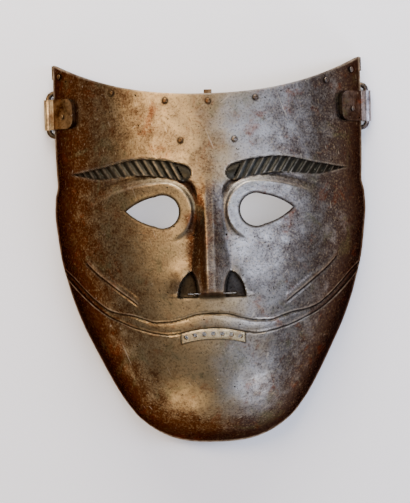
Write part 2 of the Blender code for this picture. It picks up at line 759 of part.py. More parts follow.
def make_hanging_tab(finish):
    """Flat tab riveted behind the band, whose free end stands a little above the top edge."""
    depth = PLATE + BAND_THICKNESS + 2 * SEAT_GAP
    top = EDGE_RIVET_INSET + TAB_RISE
    x, y = np.meshgrid((-TAB_WIDTH / 2, TAB_WIDTH / 2), (top, top - TAB_FREE, top - TAB_LENGTH))
    front = np.stack((x, y, np.full(x.shape, -depth)), axis=-1)
    mesh = sheet_mesh("hanging_tab", front, front - (0.0, 0.0, TAB_THICKNESS))
    mesh.transform(tab_frame())
    tab = new_object("hanging_tab", mesh, finish)
    middle = [place for place in rivet_places() if place[0] == middle_rivet()][0]
    cutter = join_cutters("tab_cutter", [rivet_hole(middle[1], middle[2], CUT_PAST, -2 * CUT_PAST)])
    add_modifier(tab, "BOOLEAN", object=cutter, operation="DIFFERENCE", solver="EXACT")
    return tab


def middle_rivet():
    return f"top_rivet_{len(TOP_RIVETS) // 2 + 1}"


def barrel_axis():
    """Distance out from the middle and height of a hinge barrel's axis."""
    rim = half_width(np.array(LEAF_Y))
    edge = surface(rim, np.array(LEAF_Y), SEAT_GAP + LEAF_THICKNESS / 2)
    normal = base_normal(rim, np.array(LEAF_Y))
    drop = float(edge[2]) - BARREL_RADIUS
    return float(edge[0]) + drop * float(normal[2]) / float(normal[0]), BARREL_RADIUS


def make_hinge_leaf(name, side, finish):
    """Folded strap: two layers riveted on the plate and wrapped round the loop's bar."""
    reach, height = barrel_axis()
    front, back = leaf_faces(side, np.array((side * reach, 0.0, height)))
    leaf = new_object(name, sheet_mesh(name, front, back), finish)
    start = Matrix.Translation((side * reach, LEAF_Y - LEAF_HEIGHT / 2, height))
    start = start @ Matrix.Rotation(math.radians(-90), 4, "X")
    skin = [(0, 0), (BARREL_RADIUS, 0), (BARREL_RADIUS, LEAF_HEIGHT), (0, LEAF_HEIGHT)]
    barrel = join_cutters(name + "_barrel", [turned_mesh(skin, start, BARREL_SIDES)])
    add_modifier(leaf, "BOOLEAN", object=barrel, operation="UNION", solver="EXACT")
    radius = (LOOP_BAR + LOOP_CLEARANCE) / math.cos(math.pi / BARREL_SIDES)
    far = LEAF_HEIGHT + CUT_PAST
    hollow = [(0, -CUT_PAST), (radius, -CUT_PAST), (radius, far), (0, far)]
    cuts = [turned_mesh(hollow, start, BARREL_SIDES)]
    rivet_x, rivet_y = hinge_rivet()
    cuts.append(rivet_hole(side * rivet_x, rivet_y, CUT_PAST, -CUT_PAST))
    cutter = join_cutters(name + "_cutter", cuts)
    add_modifier(leaf, "BOOLEAN", object=cutter, operation="DIFFERENCE", solver="EXACT")
    return leaf


def leaf_faces(side, axis):
    """Outer and inner face of a leaf, which follows the plate and then turns in to the barrel's axis."""
    rim = float(half_width(np.array(LEAF_Y)))
    from_end = np.linspace(0.0, LEAF_REACH, LEAF_COLUMNS + 1)
    from_end, up = np.meshgrid(from_end, np.linspace(-1.0, 1.0, LEAF_ROWS + 1))
    inside = np.clip(1 - from_end / LEAF_CORNER_LENGTH, 0.0, 1.0)
    corner = LEAF_CORNER_HEIGHT * (1 - np.sqrt(1 - inside ** 2))
    y = LEAF_Y + up * (LEAF_HEIGHT / 2 - BARREL_PROUD - corner)
    x = np.minimum(rim - LEAF_REACH + from_end, half_width(y))
    front = surface(x, y, SEAT_GAP + LEAF_THICKNESS) * (side, 1, 1)
    back = surface(x, y, SEAT_GAP) * (side, 1, 1)
    through = (back[0, -1] - front[0, -1]) / 2
    front_foot = front[:, -1:] * (0, 1, 0) + axis - through
    back_foot = back[:, -1:] * (0, 1, 0) + axis + through
    return np.concatenate((front, front_foot), axis=1), np.concatenate((back, back_foot), axis=1)


def loop_tilt():
    """Slope at which the loop's far bar lies on the floor."""
    reach = LOOP_WIDTH - 2 * LOOP_BAR
    return math.asin((BARREL_RADIUS - LOOP_BAR) / reach)


def loop_path():
    """Middle line of the loop's wire, from the barrel's axis outward."""
    width = LOOP_WIDTH - 2 * LOOP_BAR
    length = LOOP_LENGTH - 2 * LOOP_BAR
    corner_steps = 3
    path = []
    for far, up, start in ((0, -1, 180), (1, -1, 270), (1, 1, 0), (0, 1, 90)):
        centre_x = LOOP_CORNER + far * (width - 2 * LOOP_CORNER)
        centre_y = up * (length / 2 - LOOP_CORNER)
        for step in range(corner_steps + 1):
            angle = math.radians(start + 90 * step / corner_steps)
            path.append((centre_x + LOOP_CORNER * math.cos(angle), centre_y + LOOP_CORNER * math.sin(angle)))
    return path


def wire_ring(path, radius):
    """Round wire along a closed flat path, mitred at each bend."""
    body = bmesh.new()
    rings = []
    for index, place in enumerate(path):
        here = Vector(place)
        arriving = (here - Vector(path[index - 1])).normalized()
        leaving = (Vector(path[(index + 1) % len(path)]) - here).normalized()
        way = (arriving + leaving).normalized()
        out = Vector((way.y, -way.x)) / math.cos(way.angle(leaving))
        ring = []
        for turn in range(ROUND_SIDES):
            angle = 2 * math.pi * (turn + 0.5) / ROUND_SIDES
            flat = here + out * radius * math.cos(angle)
            ring.append(body.verts.new((flat.x, flat.y, radius * math.sin(angle))))
        rings.append(ring)
    for ring, following in zip(rings, rings[1:] + rings[:1]):
        for turn in range(ROUND_SIDES):
            after = (turn + 1) % ROUND_SIDES
            body.faces.new((ring[turn], ring[after], following[after], following[turn]))
    mesh = bpy.data.meshes.new("wire")
    body.to_mesh(mesh)
    body.free()
    return mesh


def make_strap_loop(name, side, finish):
    """Oval wire ring through the barrel, lying folded in under the rim on the floor."""
    reach, height = barrel_axis()
    mesh = wire_ring(loop_path(), LOOP_BAR)
    inward = Matrix.Diagonal((-side, 1, 1, 1))
    tilt = Matrix.Rotation(-side * loop_tilt(), 4, "Y")
    mesh.transform(tilt @ inward)
    loop = new_object(name, mesh, finish)
    loop.location = (side * reach, LEAF_Y, height)
    return loop


def make_rivets(finish):
    """Round-headed rivets with a shank and a hammered tail."""
    for name, x, y, above in rivet_places():
        behind = PLATE
        if name.startswith("top_"):
            behind += BAND_THICKNESS + SEAT_GAP
        if name == middle_rivet():
            behind += TAB_THICKNESS + SEAT_GAP
        head = above + SEAT_GAP
        tail = -behind - SEAT_GAP
        profile = [
            (0, tail - RIVET_TAIL_HEIGHT),
            (RIVET_TAIL, tail - RIVET_TAIL_EDGE),
            (RIVET_TAIL, tail),
            (RIVET_SHANK, tail),
            (RIVET_SHANK, head),
            (RIVET_HEAD, head),
            (RIVET_CROWN, head + RIVET_HEAD_EDGE),
            (0, head + RIVET_HEAD_HEIGHT),
        ]
        new_object(name, turned_mesh(profile, upright_on_plate(x, y), ROUND_SIDES), finish)


def build():
    for old in list(bpy.data.objects):
        bpy.data.objects.remove(old)
    make_mask_plate(patinated_steel())
    make_mouth_strip(pierced_steel())
    band = band_steel()
    make_edge_band(band)
    make_hanging_tab(band)
    leaf = hinge_steel()
    wire = loop_wire()
    for name, side in (("left", -1), ("right", 1)):
        make_hinge_leaf("hinge_leaf_" + name, side, leaf)
        make_strap_loop("strap_loop_" + name, side, wire)
    make_rivets(rivet_steel())


build()
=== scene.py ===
"""Looks of a patinated steel face mask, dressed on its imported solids. Everything is in metres."""

import json
import math

import bpy
import numpy as np
from mathutils import Matrix, Vector, noise


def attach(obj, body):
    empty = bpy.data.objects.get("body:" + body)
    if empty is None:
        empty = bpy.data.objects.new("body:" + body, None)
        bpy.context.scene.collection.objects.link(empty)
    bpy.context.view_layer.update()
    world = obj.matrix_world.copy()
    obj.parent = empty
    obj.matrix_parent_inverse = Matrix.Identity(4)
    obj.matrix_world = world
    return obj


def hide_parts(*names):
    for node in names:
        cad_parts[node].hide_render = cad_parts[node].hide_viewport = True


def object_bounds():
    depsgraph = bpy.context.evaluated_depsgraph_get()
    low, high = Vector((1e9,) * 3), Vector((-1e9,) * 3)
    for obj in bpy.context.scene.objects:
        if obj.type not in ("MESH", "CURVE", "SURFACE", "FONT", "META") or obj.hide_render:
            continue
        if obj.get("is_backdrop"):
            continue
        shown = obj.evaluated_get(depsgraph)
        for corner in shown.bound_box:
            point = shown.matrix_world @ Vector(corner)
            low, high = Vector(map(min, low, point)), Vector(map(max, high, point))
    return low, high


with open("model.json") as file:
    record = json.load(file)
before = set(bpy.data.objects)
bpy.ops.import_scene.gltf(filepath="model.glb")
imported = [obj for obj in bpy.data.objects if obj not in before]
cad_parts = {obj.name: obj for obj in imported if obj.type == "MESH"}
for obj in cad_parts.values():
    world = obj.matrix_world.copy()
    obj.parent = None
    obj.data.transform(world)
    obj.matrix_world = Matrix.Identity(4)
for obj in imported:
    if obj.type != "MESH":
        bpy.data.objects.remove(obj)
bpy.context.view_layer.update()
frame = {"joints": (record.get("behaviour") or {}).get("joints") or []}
bpy.ops.object.select_all(action="DESELECT")


# ---- The mask plate: outline and bow
# One sheet of steel 1.4 mm thick, cut to a shield-like outline with a hollow top edge, and raised over a
# stake until every level section is a shallow arc. All later work on the face starts from this plain form.

MASK_HEIGHT = 0.2440
HALF_WIDTH = 0.0997
FACE_DEPTH = 0.0715
PLATE = 0.0014
SEAT_GAP = 0.0003
TOP_DIP = 0.0222
TOP_CURVE = 2.3
CHIN_DROP = 0.0190
CHIN_CURVE = 2.75
SLIVER = 0.0001
SLOPE_STEP = 0.0005

HALF_HEIGHT = MASK_HEIGHT / 2
CHIN_Y = -HALF_HEIGHT
JAW_Y = CHIN_Y + CHIN_DROP

# Height above the chin and half width, as shares of MASK_HEIGHT and of HALF_WIDTH
OUTLINE = {
    "height": (0.078, 0.123, 0.176, 0.246, 0.311, 0.361, 0.418, 0.484,
               0.549, 0.607, 0.648, 0.682, 0.717, 0.787, 0.910, 1.000),
    "half_width": (0.5145, 0.595, 0.670, 0.758, 0.8345, 0.882, 0.925, 0.965,
                   0.987, 1.000, 0.995, 0.979, 0.983, 0.987, 0.990, 0.988),
}

# Height above the chin as a share of MASK_HEIGHT, crown and rim as shares of FACE_DEPTH
PROFILE = {
    "height": (0.000, 0.030, 0.070, 0.120, 0.180, 0.250, 0.340, 0.450, 0.570, 0.700, 0.820, 0.910, 1.000),
    "crown": (0.294, 0.468, 0.629, 0.762, 0.853, 0.909, 0.951, 0.986, 1.000, 0.979, 0.941, 0.902, 0.867),
    "rim": (0.294, 0.273, 0.224, 0.161, 0.098, 0.042, 0.006, 0.018, 0.046, 0.076, 0.084, 0.084, 0.084),
}


def curve(at, table, along, column):
    """Smooth reading of a table's column with no overshoot between its rows."""
    places = np.array(table[along])
    values = np.array(table[column])
    steps = np.diff(places)
    rises = np.diff(values) / steps
    slopes = np.zeros(len(places))
    same_way = rises[:-1] * rises[1:] > 0
    total = np.where(same_way, rises[:-1] + rises[1:], 1.0)
    slopes[1:-1] = np.where(same_way, 2 * rises[:-1] * rises[1:] / total, 0.0)
    slopes[0] = rises[0]
    slopes[-1] = rises[-1]
    inside = np.clip(at, places[0], places[-1])
    row = np.clip(np.searchsorted(places, inside, side="right") - 1, 0, len(steps) - 1)
    t = (inside - places[row]) / steps[row]
    start = values[row] * (1 + 2 * t) * (1 - t) ** 2 + slopes[row] * steps[row] * t * (1 - t) ** 2
    end = values[row + 1] * t * t * (3 - 2 * t) - slopes[row + 1] * steps[row] * t * t * (1 - t)
    return start + end


def clamp(value):
    """Value held between 0 and 1."""
    return np.clip(value, 0.0, 1.0)


def ease(value):
    """Smooth step from 0 at 0 to 1 at 1."""
    t = clamp(value)
    return t * t * (3 - 2 * t)


JAW_HALF_WIDTH = HALF_WIDTH * float(curve((JAW_Y - CHIN_Y) / MASK_HEIGHT, OUTLINE, "height", "half_width"))
TOP_HALF_WIDTH = HALF_WIDTH * OUTLINE["half_width"][-1]


def half_width(y):
    """Half width of the outline at a height, with the rounded chin below the jaw."""
    sides = HALF_WIDTH * curve((y - CHIN_Y) / MASK_HEIGHT, OUTLINE, "height", "half_width")
    chin = JAW_HALF_WIDTH * clamp((y - CHIN_Y) / CHIN_DROP) ** (1 / CHIN_CURVE)
    return np.where(y < JAW_Y, chin, sides)


def top_edge(x):
    """Height of the concave top edge."""
    return HALF_HEIGHT - TOP_DIP * (1 - (np.abs(x) / TOP_HALF_WIDTH) ** TOP_CURVE)


def base_height(x, y):
    """Plain bowed form of the plate, with a circular arc for each level section."""
    share = (y - CHIN_Y) / MASK_HEIGHT
    crown = FACE_DEPTH * curve(share, PROFILE, "height", "crown")
    rim = FACE_DEPTH * curve(share, PROFILE, "height", "rim")
    bow = np.maximum(crown - rim, SLIVER)
    width = np.maximum(half_width(y), SLIVER)
    radius = (width ** 2 + bow ** 2) / (2 * bow)
    return crown - radius + np.sqrt(np.maximum(radius ** 2 - np.minimum(np.abs(x), width) ** 2, 0.0))


def base_normal(x, y):
    """Outward normals of the plain form, read a little inside its outline."""
    step = SLOPE_STEP
    inside_y = np.clip(y, CHIN_Y + 4 * step, HALF_HEIGHT - step)
    limit = half_width(inside_y) - 3 * step
    inside_x = np.clip(x, -limit, limit)
    slope_x = (base_height(inside_x + step, inside_y) - base_height(inside_x - step, inside_y)) / (2 * step)
    slope_y = (base_height(inside_x, inside_y + step) - base_height(inside_x, inside_y - step)) / (2 * step)
    length = np.sqrt(slope_x ** 2 + slope_y ** 2 + 1)
    return np.stack((-slope_x / length, -slope_y / length, 1 / length), axis=-1)


def surface(x, y, offset=0.0):
    """Point at a signed distance from the plain form, along its normal."""
    point = np.stack((x, y, base_height(x, y)), axis=-1)
    return point + base_normal(x, y) * np.asarray(offset)[..., None]


# ---- The nose and nostrils
# Raised from behind to a narrow ridge, then the two arched nostril hollows were driven back in beside it.
# Their floors end at a straight lip, above which a narrow breathing slot is sawn on each side.

NOSE_TOP = 0.0500
NOSE_LENGTH = 0.0790
NOSE_FOOT = NOSE_TOP - NOSE_LENGTH
NOSE_HEIGHT = 0.0135
NOSE_HALF_WIDTH = 0.0130
NOSE_FLANK_CURVE = 1.25
RIDGE_LEFT = 0.0026
RIDGE_WIDTH = 0.0048
WING_OUT = 0.0155
WING_UP = 0.0076
WING_SPREAD = 0.0085
WING_TALL = 0.0098
WING_HEIGHT = 0.0048
WING_STEP = 0.0030
NOSTRIL_IN = 0.0072
NOSTRIL_WIDTH = 0.0148
NOSTRIL_HEIGHT = 0.0180
NOSTRIL_DEPTH = 0.0030
NOSTRIL_WALL = 0.0016
NOSTRIL_NARROWING = 0.0052
NOSTRIL_INNER_WALL = 0.0030
NOSTRIL_SILL = 0.0011
BREATH_SLOT_LENGTH = 0.0080
BREATH_SLOT_WIDTH = 0.0006
BREATH_SLOT_UP = 0.0022

# Way down the nose as a share of NOSE_LENGTH, ridge and half width as shares of its height and half width
NOSE = {
    "down": (0.00, 0.18, 0.35, 0.58, 0.78, 0.955, 1.00),
    "ridge": (0.00, 0.08, 0.28, 0.58, 0.85, 1.00, 0.00),
    "half_width": (0.45, 0.55, 0.66, 0.80, 1.00, 1.20, 1.30),
}


def from_ridge(x):
    """Distance from the nose's ridge, a narrow flat strip, stretched to end where the nose's flanks do."""
    past_right = x + RIDGE_LEFT - RIDGE_WIDTH
    right = past_right * NOSE_HALF_WIDTH / (NOSE_HALF_WIDTH + RIDGE_LEFT - RIDGE_WIDTH)
    left = -(x + RIDGE_LEFT) * NOSE_HALF_WIDTH / (NOSE_HALF_WIDTH - RIDGE_LEFT)
    return np.where(np.abs(x) < NOSE_HALF_WIDTH, np.maximum(np.maximum(right, left), 0.0), np.abs(x))


def nose_form(x, y):
    """Nose between its flanks, and its wings."""
    down = (NOSE_TOP - y) / NOSE_LENGTH
    ridge = NOSE_HEIGHT * curve(down, NOSE, "down", "ridge")
    reach = NOSE_HALF_WIDTH * curve(down, NOSE, "down", "half_width")
    nose = ridge * clamp(1 - x / reach) ** NOSE_FLANK_CURVE
    far = ((x - WING_OUT) / WING_SPREAD) ** 2 + ((y - NOSE_FOOT - WING_UP) / WING_TALL) ** 2
    wings = WING_HEIGHT * np.exp(-far) * ease((y - NOSE_FOOT) / WING_STEP)
    return np.where((down < 0) | (down > 1), 0.0, nose) + wings


def nostril_hollow(x, y):
    """Depth share, 0 to 1, of the arched hollow beside the nose ridge."""
    up = clamp((y - NOSE_FOOT) / NOSTRIL_HEIGHT)
    arch = NOSTRIL_IN + NOSTRIL_WIDTH * np.sqrt(1 - up ** 2)
    side = ease((arch - x) / NOSTRIL_WALL)
    inner = ease((x - NOSTRIL_IN - NOSTRIL_NARROWING * up ** 3) / NOSTRIL_INNER_WALL)
    level = ease((y - NOSE_FOOT) / NOSTRIL_SILL + 0.5)
    return side * inner * level * np.where(y > NOSE_FOOT + NOSTRIL_HEIGHT, 0.0, 1.0)


# ---- The eye pads and eye holes
# A low pad was left standing round each eye and the sheet sunk beside it, towards the nose and the brow. The
# teardrop hole was sawn in its middle and its edge hammered a little inwards, which hides the raw cut.

EYE_OUT = 0.0297
EYE_UP = 0.0255
EYE_RADIUS = 0.0103
EYE_TIP = 0.0231
EYE_TIP_RISE = 0.0010
EYE_SIDE_BULGE = 0.0014
EYE_ARC_STEPS = 40
EYE_SIDE_STEPS = 16
EYE_LIP_WIDTH = 0.0015
EYE_LIP_TURN = 0.0008
PAD_RADIUS = 0.0202
PAD_REACH = 0.0571
PAD_RISE = 0.0026
PAD_HOLE_RISE = 0.0012
PAD_STEP = 0.0024
PAD_FADE_START = 0.0400
PAD_FADE_END = 0.0780
UNDER_FADE_START = 0.0100
UNDER_FADE_END = 0.0250
VALLEY_DEPTH = 0.0022
VALLEY_WIDTH = 0.0066


def eye_outline():
    """Eye hole on the right: a circle drawn out to a tip, with slightly bowed sides."""
    reach = math.hypot(EYE_TIP, EYE_TIP_RISE)
    lean = math.atan2(EYE_TIP_RISE, EYE_TIP)
    open_angle = math.acos(EYE_RADIUS / reach)
    turn = np.linspace(lean + open_angle, lean + 2 * math.pi - open_angle, EYE_ARC_STEPS + 1)
    arc = EYE_RADIUS * np.stack((np.cos(turn), np.sin(turn)), axis=-1)
    tip = np.array((EYE_TIP, EYE_TIP_RISE))
    sides = []
    for start, end in ((arc[-1], tip), (tip, arc[0])):
        share = np.linspace(0.0, 1.0, EYE_SIDE_STEPS + 1)[1:, None]
        run = end - start
        push = EYE_SIDE_BULGE * 4 * share * (1 - share) / np.hypot(*run)
        sides.append(start + run * share + push * np.array((run[1], -run[0])))
    return np.concatenate((arc, sides[0], sides[1][:-1])) + (EYE_OUT, EYE_UP)


EYE_LINE = eye_outline()


def from_eye_line(x, y):
    """Distance to the sawn line of the eye hole, for points near it."""
    nearest = np.full(x.shape, MASK_HEIGHT)
    close = (np.abs(x - EYE_OUT - EYE_RADIUS / 2) < EYE_TIP) & (np.abs(y - EYE_UP) < 2 * EYE_RADIUS)
    point = np.stack((x[close], y[close]), axis=-1)[:, None]
    start = EYE_LINE[None]
    run = np.roll(EYE_LINE, -1, axis=0)[None] - start
    share = clamp(((point - start) * run).sum(-1) / (run ** 2).sum(-1))
    nearest[close] = np.linalg.norm(point - start - run * share[..., None], axis=-1).min(axis=1)
    return nearest


def eye_lip(x, y):
    """How far the edge of the eye hole is turned in."""
    return -EYE_LIP_TURN * clamp(1 - from_eye_line(x, y) / EYE_LIP_WIDTH) ** 2


def eye_pad(x, y):
    """Raised pad round an eye and the valley between it, the nose and the brow."""
    from_nose = PAD_RADIUS - np.hypot(x - EYE_OUT, y - EYE_UP)
    narrowing = PAD_RADIUS * ((x - EYE_OUT) / PAD_REACH) ** 2
    inside = np.where(x < EYE_OUT, from_nose, PAD_RADIUS - narrowing - np.abs(y - EYE_UP))
    upper = 1 - ease((x - PAD_FADE_START) / (PAD_FADE_END - PAD_FADE_START))
    lower = 1 - ease((x - UNDER_FADE_START) / (UNDER_FADE_END - UNDER_FADE_START))
    blend = ease((y - EYE_UP + PAD_RADIUS / 2) / PAD_RADIUS)
    fade = lower * (1 - blend) + upper * blend
    rim = ease(inside / PAD_STEP)
    rise = PAD_RISE + (PAD_HOLE_RISE - PAD_RISE) * ease(inside / (PAD_RADIUS - EYE_RADIUS))
    valley = np.sin(np.pi * clamp(-inside / VALLEY_WIDTH)) ** 2 * fade
    valley *= ease((y - EYE_UP + PAD_RADIUS) / PAD_RADIUS)
    return rise * rim * fade - VALLEY_DEPTH * valley


# ---- The brows
# Each brow is a sunk band under a sharp ledge, filled with slanting ribs chased like a rope. The ribs crowd
# together towards the temple, and the end by the nose is one plain rounded blob.

BROW_IN = 0.0105
BROW_LENGTH = 0.0795
BROW_UP = 0.0515
BROW_THICKNESS = 0.0124
BROW_SINK = 0.0022
BROW_SINK_LOW = 0.0008
BROW_STEP = 0.0012
RIB_HEIGHT = 0.0013
RIB_LEAN = 0.60
RIB_PITCH = 0.0057
RIB_START = 0.0180
RIB_CREST = 2.2
RIBS_CROWDED = 3.2
CROWDING_CURVE = 5

# Way along the brow as a share of BROW_LENGTH, its middle's rise and half thickness as shares of
# BROW_THICKNESS
BROW = {
    "along": (0.00, 0.008, 0.02, 0.04, 0.07, 0.10, 0.20, 0.30, 0.40, 0.50, 0.61, 0.75, 0.86, 0.96, 1.00),
    "rise": (-0.20, -0.195, -0.19, -0.17, -0.14, -0.10, 0.06, 0.15, 0.20, 0.17, 0.07, -0.06, -0.06,
             -0.03, -0.02),
    "half": (0.06, 0.22, 0.33, 0.43, 0.49, 0.50, 0.50, 0.49, 0.48, 0.46, 0.42, 0.34, 0.20, 0.06, 0.01),
}


def brow_place(x, y):
    """Share along a brow, place across it from -1 to 1, half thickness, and share inside its edge."""
    along = (x - BROW_IN) / BROW_LENGTH
    middle = BROW_UP + BROW_THICKNESS * curve(along, BROW, "along", "rise")
    half = BROW_THICKNESS * curve(along, BROW, "along", "half")
    across = (y - middle) / half
    inside = ease((1 - np.abs(across)) * half / BROW_STEP) * np.where((along < 0) | (along > 1), 0.0, 1.0)
    return along, across, half, inside


def brow_sink(x, y):
    """Sunk band of a brow, deepest under its sharp upper ledge."""
    _, across, _, inside = brow_place(x, y)
    return -inside * (BROW_SINK_LOW + (BROW_SINK - BROW_SINK_LOW) * clamp((across + 1) / 2))


def rope_turns(x, y):
    """Count of leaning rope turns from the first rib, below 0 on the plain blob by the nose."""
    _, across, half, _ = brow_place(x, y)
    from_start = x - RIB_START - RIB_LEAN * across * half
    far = clamp(from_start / BROW_LENGTH)
    return from_start / RIB_PITCH + RIBS_CROWDED * far ** CROWDING_CURVE


def brow_ribs(x, y):
    """Leaning rope ribs that fill a brow."""
    _, across, _, inside = brow_place(x, y)
    turns = rope_turns(x, y)
    rib = 1 - np.abs(2 * (turns % 1.0) - 1) ** RIB_CREST
    blob = clamp(1 - across ** 2)
    return RIB_HEIGHT * np.where(turns < 0, blob, rib) * inside


# ---- The moustache and cheek folds
# Lines chased from the front with a blunt tool: two long ones bound the rolled moustache band from cheek to
# cheek, and a short crease with a raised upper lip runs down each cheek to meet it.

MOUSTACHE_HALF_LENGTH = 0.0940
MOUSTACHE_Y = -0.0391
MOUSTACHE_END_SLOPE = 0.95
MOUSTACHE_ROLL = 0.0004
MOUSTACHE_DIP = 0.0004
GROOVE_DEPTH = 0.0007
GROOVE_WIDTH = 0.0021
FOLD_IN = 0.0450
FOLD_OUT = 0.0820
FOLD_LIP = 0.0005
FOLD_FADE = 0.0040

# Way out along the moustache, and its two chased lines above MOUSTACHE_Y, as shares of its half length
MOUSTACHE = {
    "out": (0.000, 0.106, 0.202, 0.298, 0.383, 0.468, 0.543, 0.617, 0.691, 0.777, 0.872, 0.936, 1.000),
    "upper": (0.000, -0.010, -0.037, -0.055, -0.056, -0.031, -0.007, 0.005, 0.027, 0.086, 0.176,
              0.246, 0.307),
    "lower": (-0.099, -0.112, -0.129, -0.140, -0.129, -0.107, -0.082, -0.048, -0.012, 0.048, 0.134,
              0.203, 0.278),
}

# Way out along the cheek fold from FOLD_IN to FOLD_OUT, and its height as a share of FOLD_OUT
FOLD = {
    "out": (0.00, 0.18, 0.37, 0.56, 0.73, 0.89, 1.00),
    "height": (-0.427, -0.360, -0.296, -0.228, -0.165, -0.093, -0.033),
}


def groove(distance):
    """Round-bottomed chased line."""
    return -GROOVE_DEPTH * clamp(1 - (2 * distance / GROOVE_WIDTH) ** 2)


def moustache_lines(x, y):
    """Signed distances above the upper and the lower moustache line."""
    out = x / MOUSTACHE_HALF_LENGTH
    upper = MOUSTACHE_Y + MOUSTACHE_HALF_LENGTH * curve(out, MOUSTACHE, "out", "upper")
    lower = MOUSTACHE_Y + MOUSTACHE_HALF_LENGTH * curve(out, MOUSTACHE, "out", "lower")
    lean = 1 / np.hypot(1.0, MOUSTACHE_END_SLOPE * ease((x - FOLD_IN) / FOLD_IN))
    return (y - upper) * lean, (y - lower) * lean


def moustache(x, y):
    """Slightly rolled band between two chased lines."""
    above_upper, above_lower = moustache_lines(x, y)
    across = clamp(above_lower / (above_lower - above_upper))
    roll = 4 * MOUSTACHE_ROLL * across * (1 - across) - MOUSTACHE_DIP * across
    return groove(above_upper) + groove(above_lower) + roll * ((above_lower > 0) & (above_upper < 0))


def fold_line(x, y):
    """Signed distance above the cheek fold, and the share that its fading ends leave of it."""
    line = FOLD_OUT * curve((x - FOLD_IN) / (FOLD_OUT - FOLD_IN), FOLD, "out", "height")
    steepness = FOLD_OUT * (FOLD["height"][-1] - FOLD["height"][0]) / (FOLD_OUT - FOLD_IN)
    ends = ease((x - FOLD_IN) / FOLD_FADE) * ease((FOLD_OUT - x) / FOLD_FADE)
    return (y - line) / math.hypot(1.0, steepness), ends


def cheek_fold(x, y):
    """Chased crease from the cheekbone down to the moustache, with a raised upper lip."""
    above, ends = fold_line(x, y)
    lip = FOLD_LIP * clamp(1 - ((above - GROOVE_WIDTH) / GROOVE_WIDTH) ** 2)
    return (groove(above) + lip) * ends


# ---- The mask plate: its mesh
# The forms above are laid on the bowed sheet, with the faint dents that the planishing hammer left. The eye
# holes, mouth slot, breathing slots and rivet holes are then cut right through it.

PLATE_COLUMNS = 270
PLATE_ROWS = 312
INSIDE_COARSER = 3
DENT_SIZE = 0.0110
DENT_DEPTH = 0.00016
CUT_PAST = 0.0060
SMOOTH_ANGLE = math.radians(40)
PUNCH_SIDES = 24
MOUTH_STEPS = 30
MOUTH_WIDTH = 0.0400
MOUTH_HEIGHT = 0.0062
MOUTH_Y = -0.0521
MOUTH_ARCH = 0.0028
EDGE_RIVET_INSET = 0.0050
RIVET_SHANK = 0.0009
RIVET_CLEARANCE = 0.0003
FOREHEAD_RIVET_OUT = 0.0170
FOREHEAD_RIVET_DROP = 0.0518
LEAF_THICKNESS = 0.0024
LEAF_DROP = 0.0317
LEAF_RIVET_REACH = 0.0079
LEAF_RIVET_DROP = 0.0021

LEAF_Y = HALF_HEIGHT - LEAF_DROP
LEAF_RIM = float(half_width(LEAF_Y))

# Rivets along the top edge, left to right, as shares of HALF_WIDTH
TOP_RIVETS = (-0.947, -0.607, -0.263, 0.010, 0.311, 0.766, 0.930)


def forms(x, y):
    """Main forms beaten into the plate, which its inside follows too."""
    side = np.abs(x)
    _, _, _, in_brow = brow_place(side, y)
    pad = eye_pad(side, y) * ease((side - NOSTRIL_IN) / (NOSTRIL_IN / 2))
    raised = nose_form(from_ridge(x), y) + np.where(pad < 0, pad * (1 - in_brow), pad)
    hollow = nostril_hollow(side, y)
    raised = raised * (1 - hollow) - NOSTRIL_DEPTH * hollow
    return raised + brow_sink(side, y)


def chasing(x, y):
    """Fine lines and ribs on the outer face alone."""
    side = np.abs(x)
    return brow_ribs(side, y) + moustache(side, y) + cheek_fold(side, y) + eye_lip(side, y)


def dents(x, y):
    """Shallow marks of the planishing hammer."""
    places = np.stack((x, y, base_height(x, y)), axis=-1).reshape(-1, 3) / DENT_SIZE
    depth = np.array([noise.noise(Vector(place)) for place in places])
    return DENT_DEPTH * depth.reshape(x.shape)


def plate_grid(columns, rows):
    """Places of the plate's points: columns run from the top edge to the chin."""
    across = np.linspace(-1.0, 1.0, columns + 1)
    share_x, share_y = np.meshgrid(across, np.linspace(0.0, 1.0, rows + 1))
    side_y = HALF_HEIGHT + (JAW_Y - HALF_HEIGHT) * share_y
    x = share_x * half_width(side_y)
    chin = CHIN_Y + CHIN_DROP * np.abs(share_x) ** CHIN_CURVE
    y = top_edge(share_x * TOP_HALF_WIDTH) * (1 - share_y) + chin * share_y
    x[-1] = share_x[-1] * JAW_HALF_WIDTH
    return x, y


def border(rows, columns):
    """Numbers of a grid's border points, clockwise from its first corner."""
    line = list(range(columns))
    line += [row * columns + columns - 1 for row in range(1, rows)]
    line += [(rows - 1) * columns + column for column in range(columns - 2, -1, -1)]
    line += [row * columns for row in range(rows - 2, 0, -1)]
    return line


def new_piece(name, points, edges, faces):
    """Links a new object with a mesh of these points, edges and faces."""
    mesh = bpy.data.meshes.new(name)
    mesh.from_pydata(points, edges, faces)
    piece = bpy.data.objects.new(name, mesh)
    bpy.context.scene.collection.objects.link(piece)
    return piece


def sheet_piece(name, outer, inner):
    """Closed sheet between an outer grid of points and an inner one that may be coarser by a whole factor."""
    points = np.concatenate((outer.reshape(-1, 3), inner.reshape(-1, 3)))
    start = outer.shape[0] * outer.shape[1]
    faces = []
    for grid, first, outward in ((outer, 0, True), (inner, start, False)):
        rows, columns = grid.shape[:2]
        for row in range(rows - 1):
            for column in range(columns - 1):
                corner = first + row * columns + column
                quad = (corner, corner + columns, corner + columns + 1, corner + 1)
                faces.append(quad if outward else quad[::-1])
    outside = border(*outer.shape[:2])
    inside = border(*inner.shape[:2])
    factor = len(outside) // len(inside)
    outside.append(outside[0])
    for index, here in enumerate(inside):
        there = inside[(index + 1) % len(inside)]
        near = outside[index * factor:(index + 1) * factor + 1]
        faces.append((*near, start + there, start + here))
    return new_piece(name, [tuple(point) for point in points], [], faces)


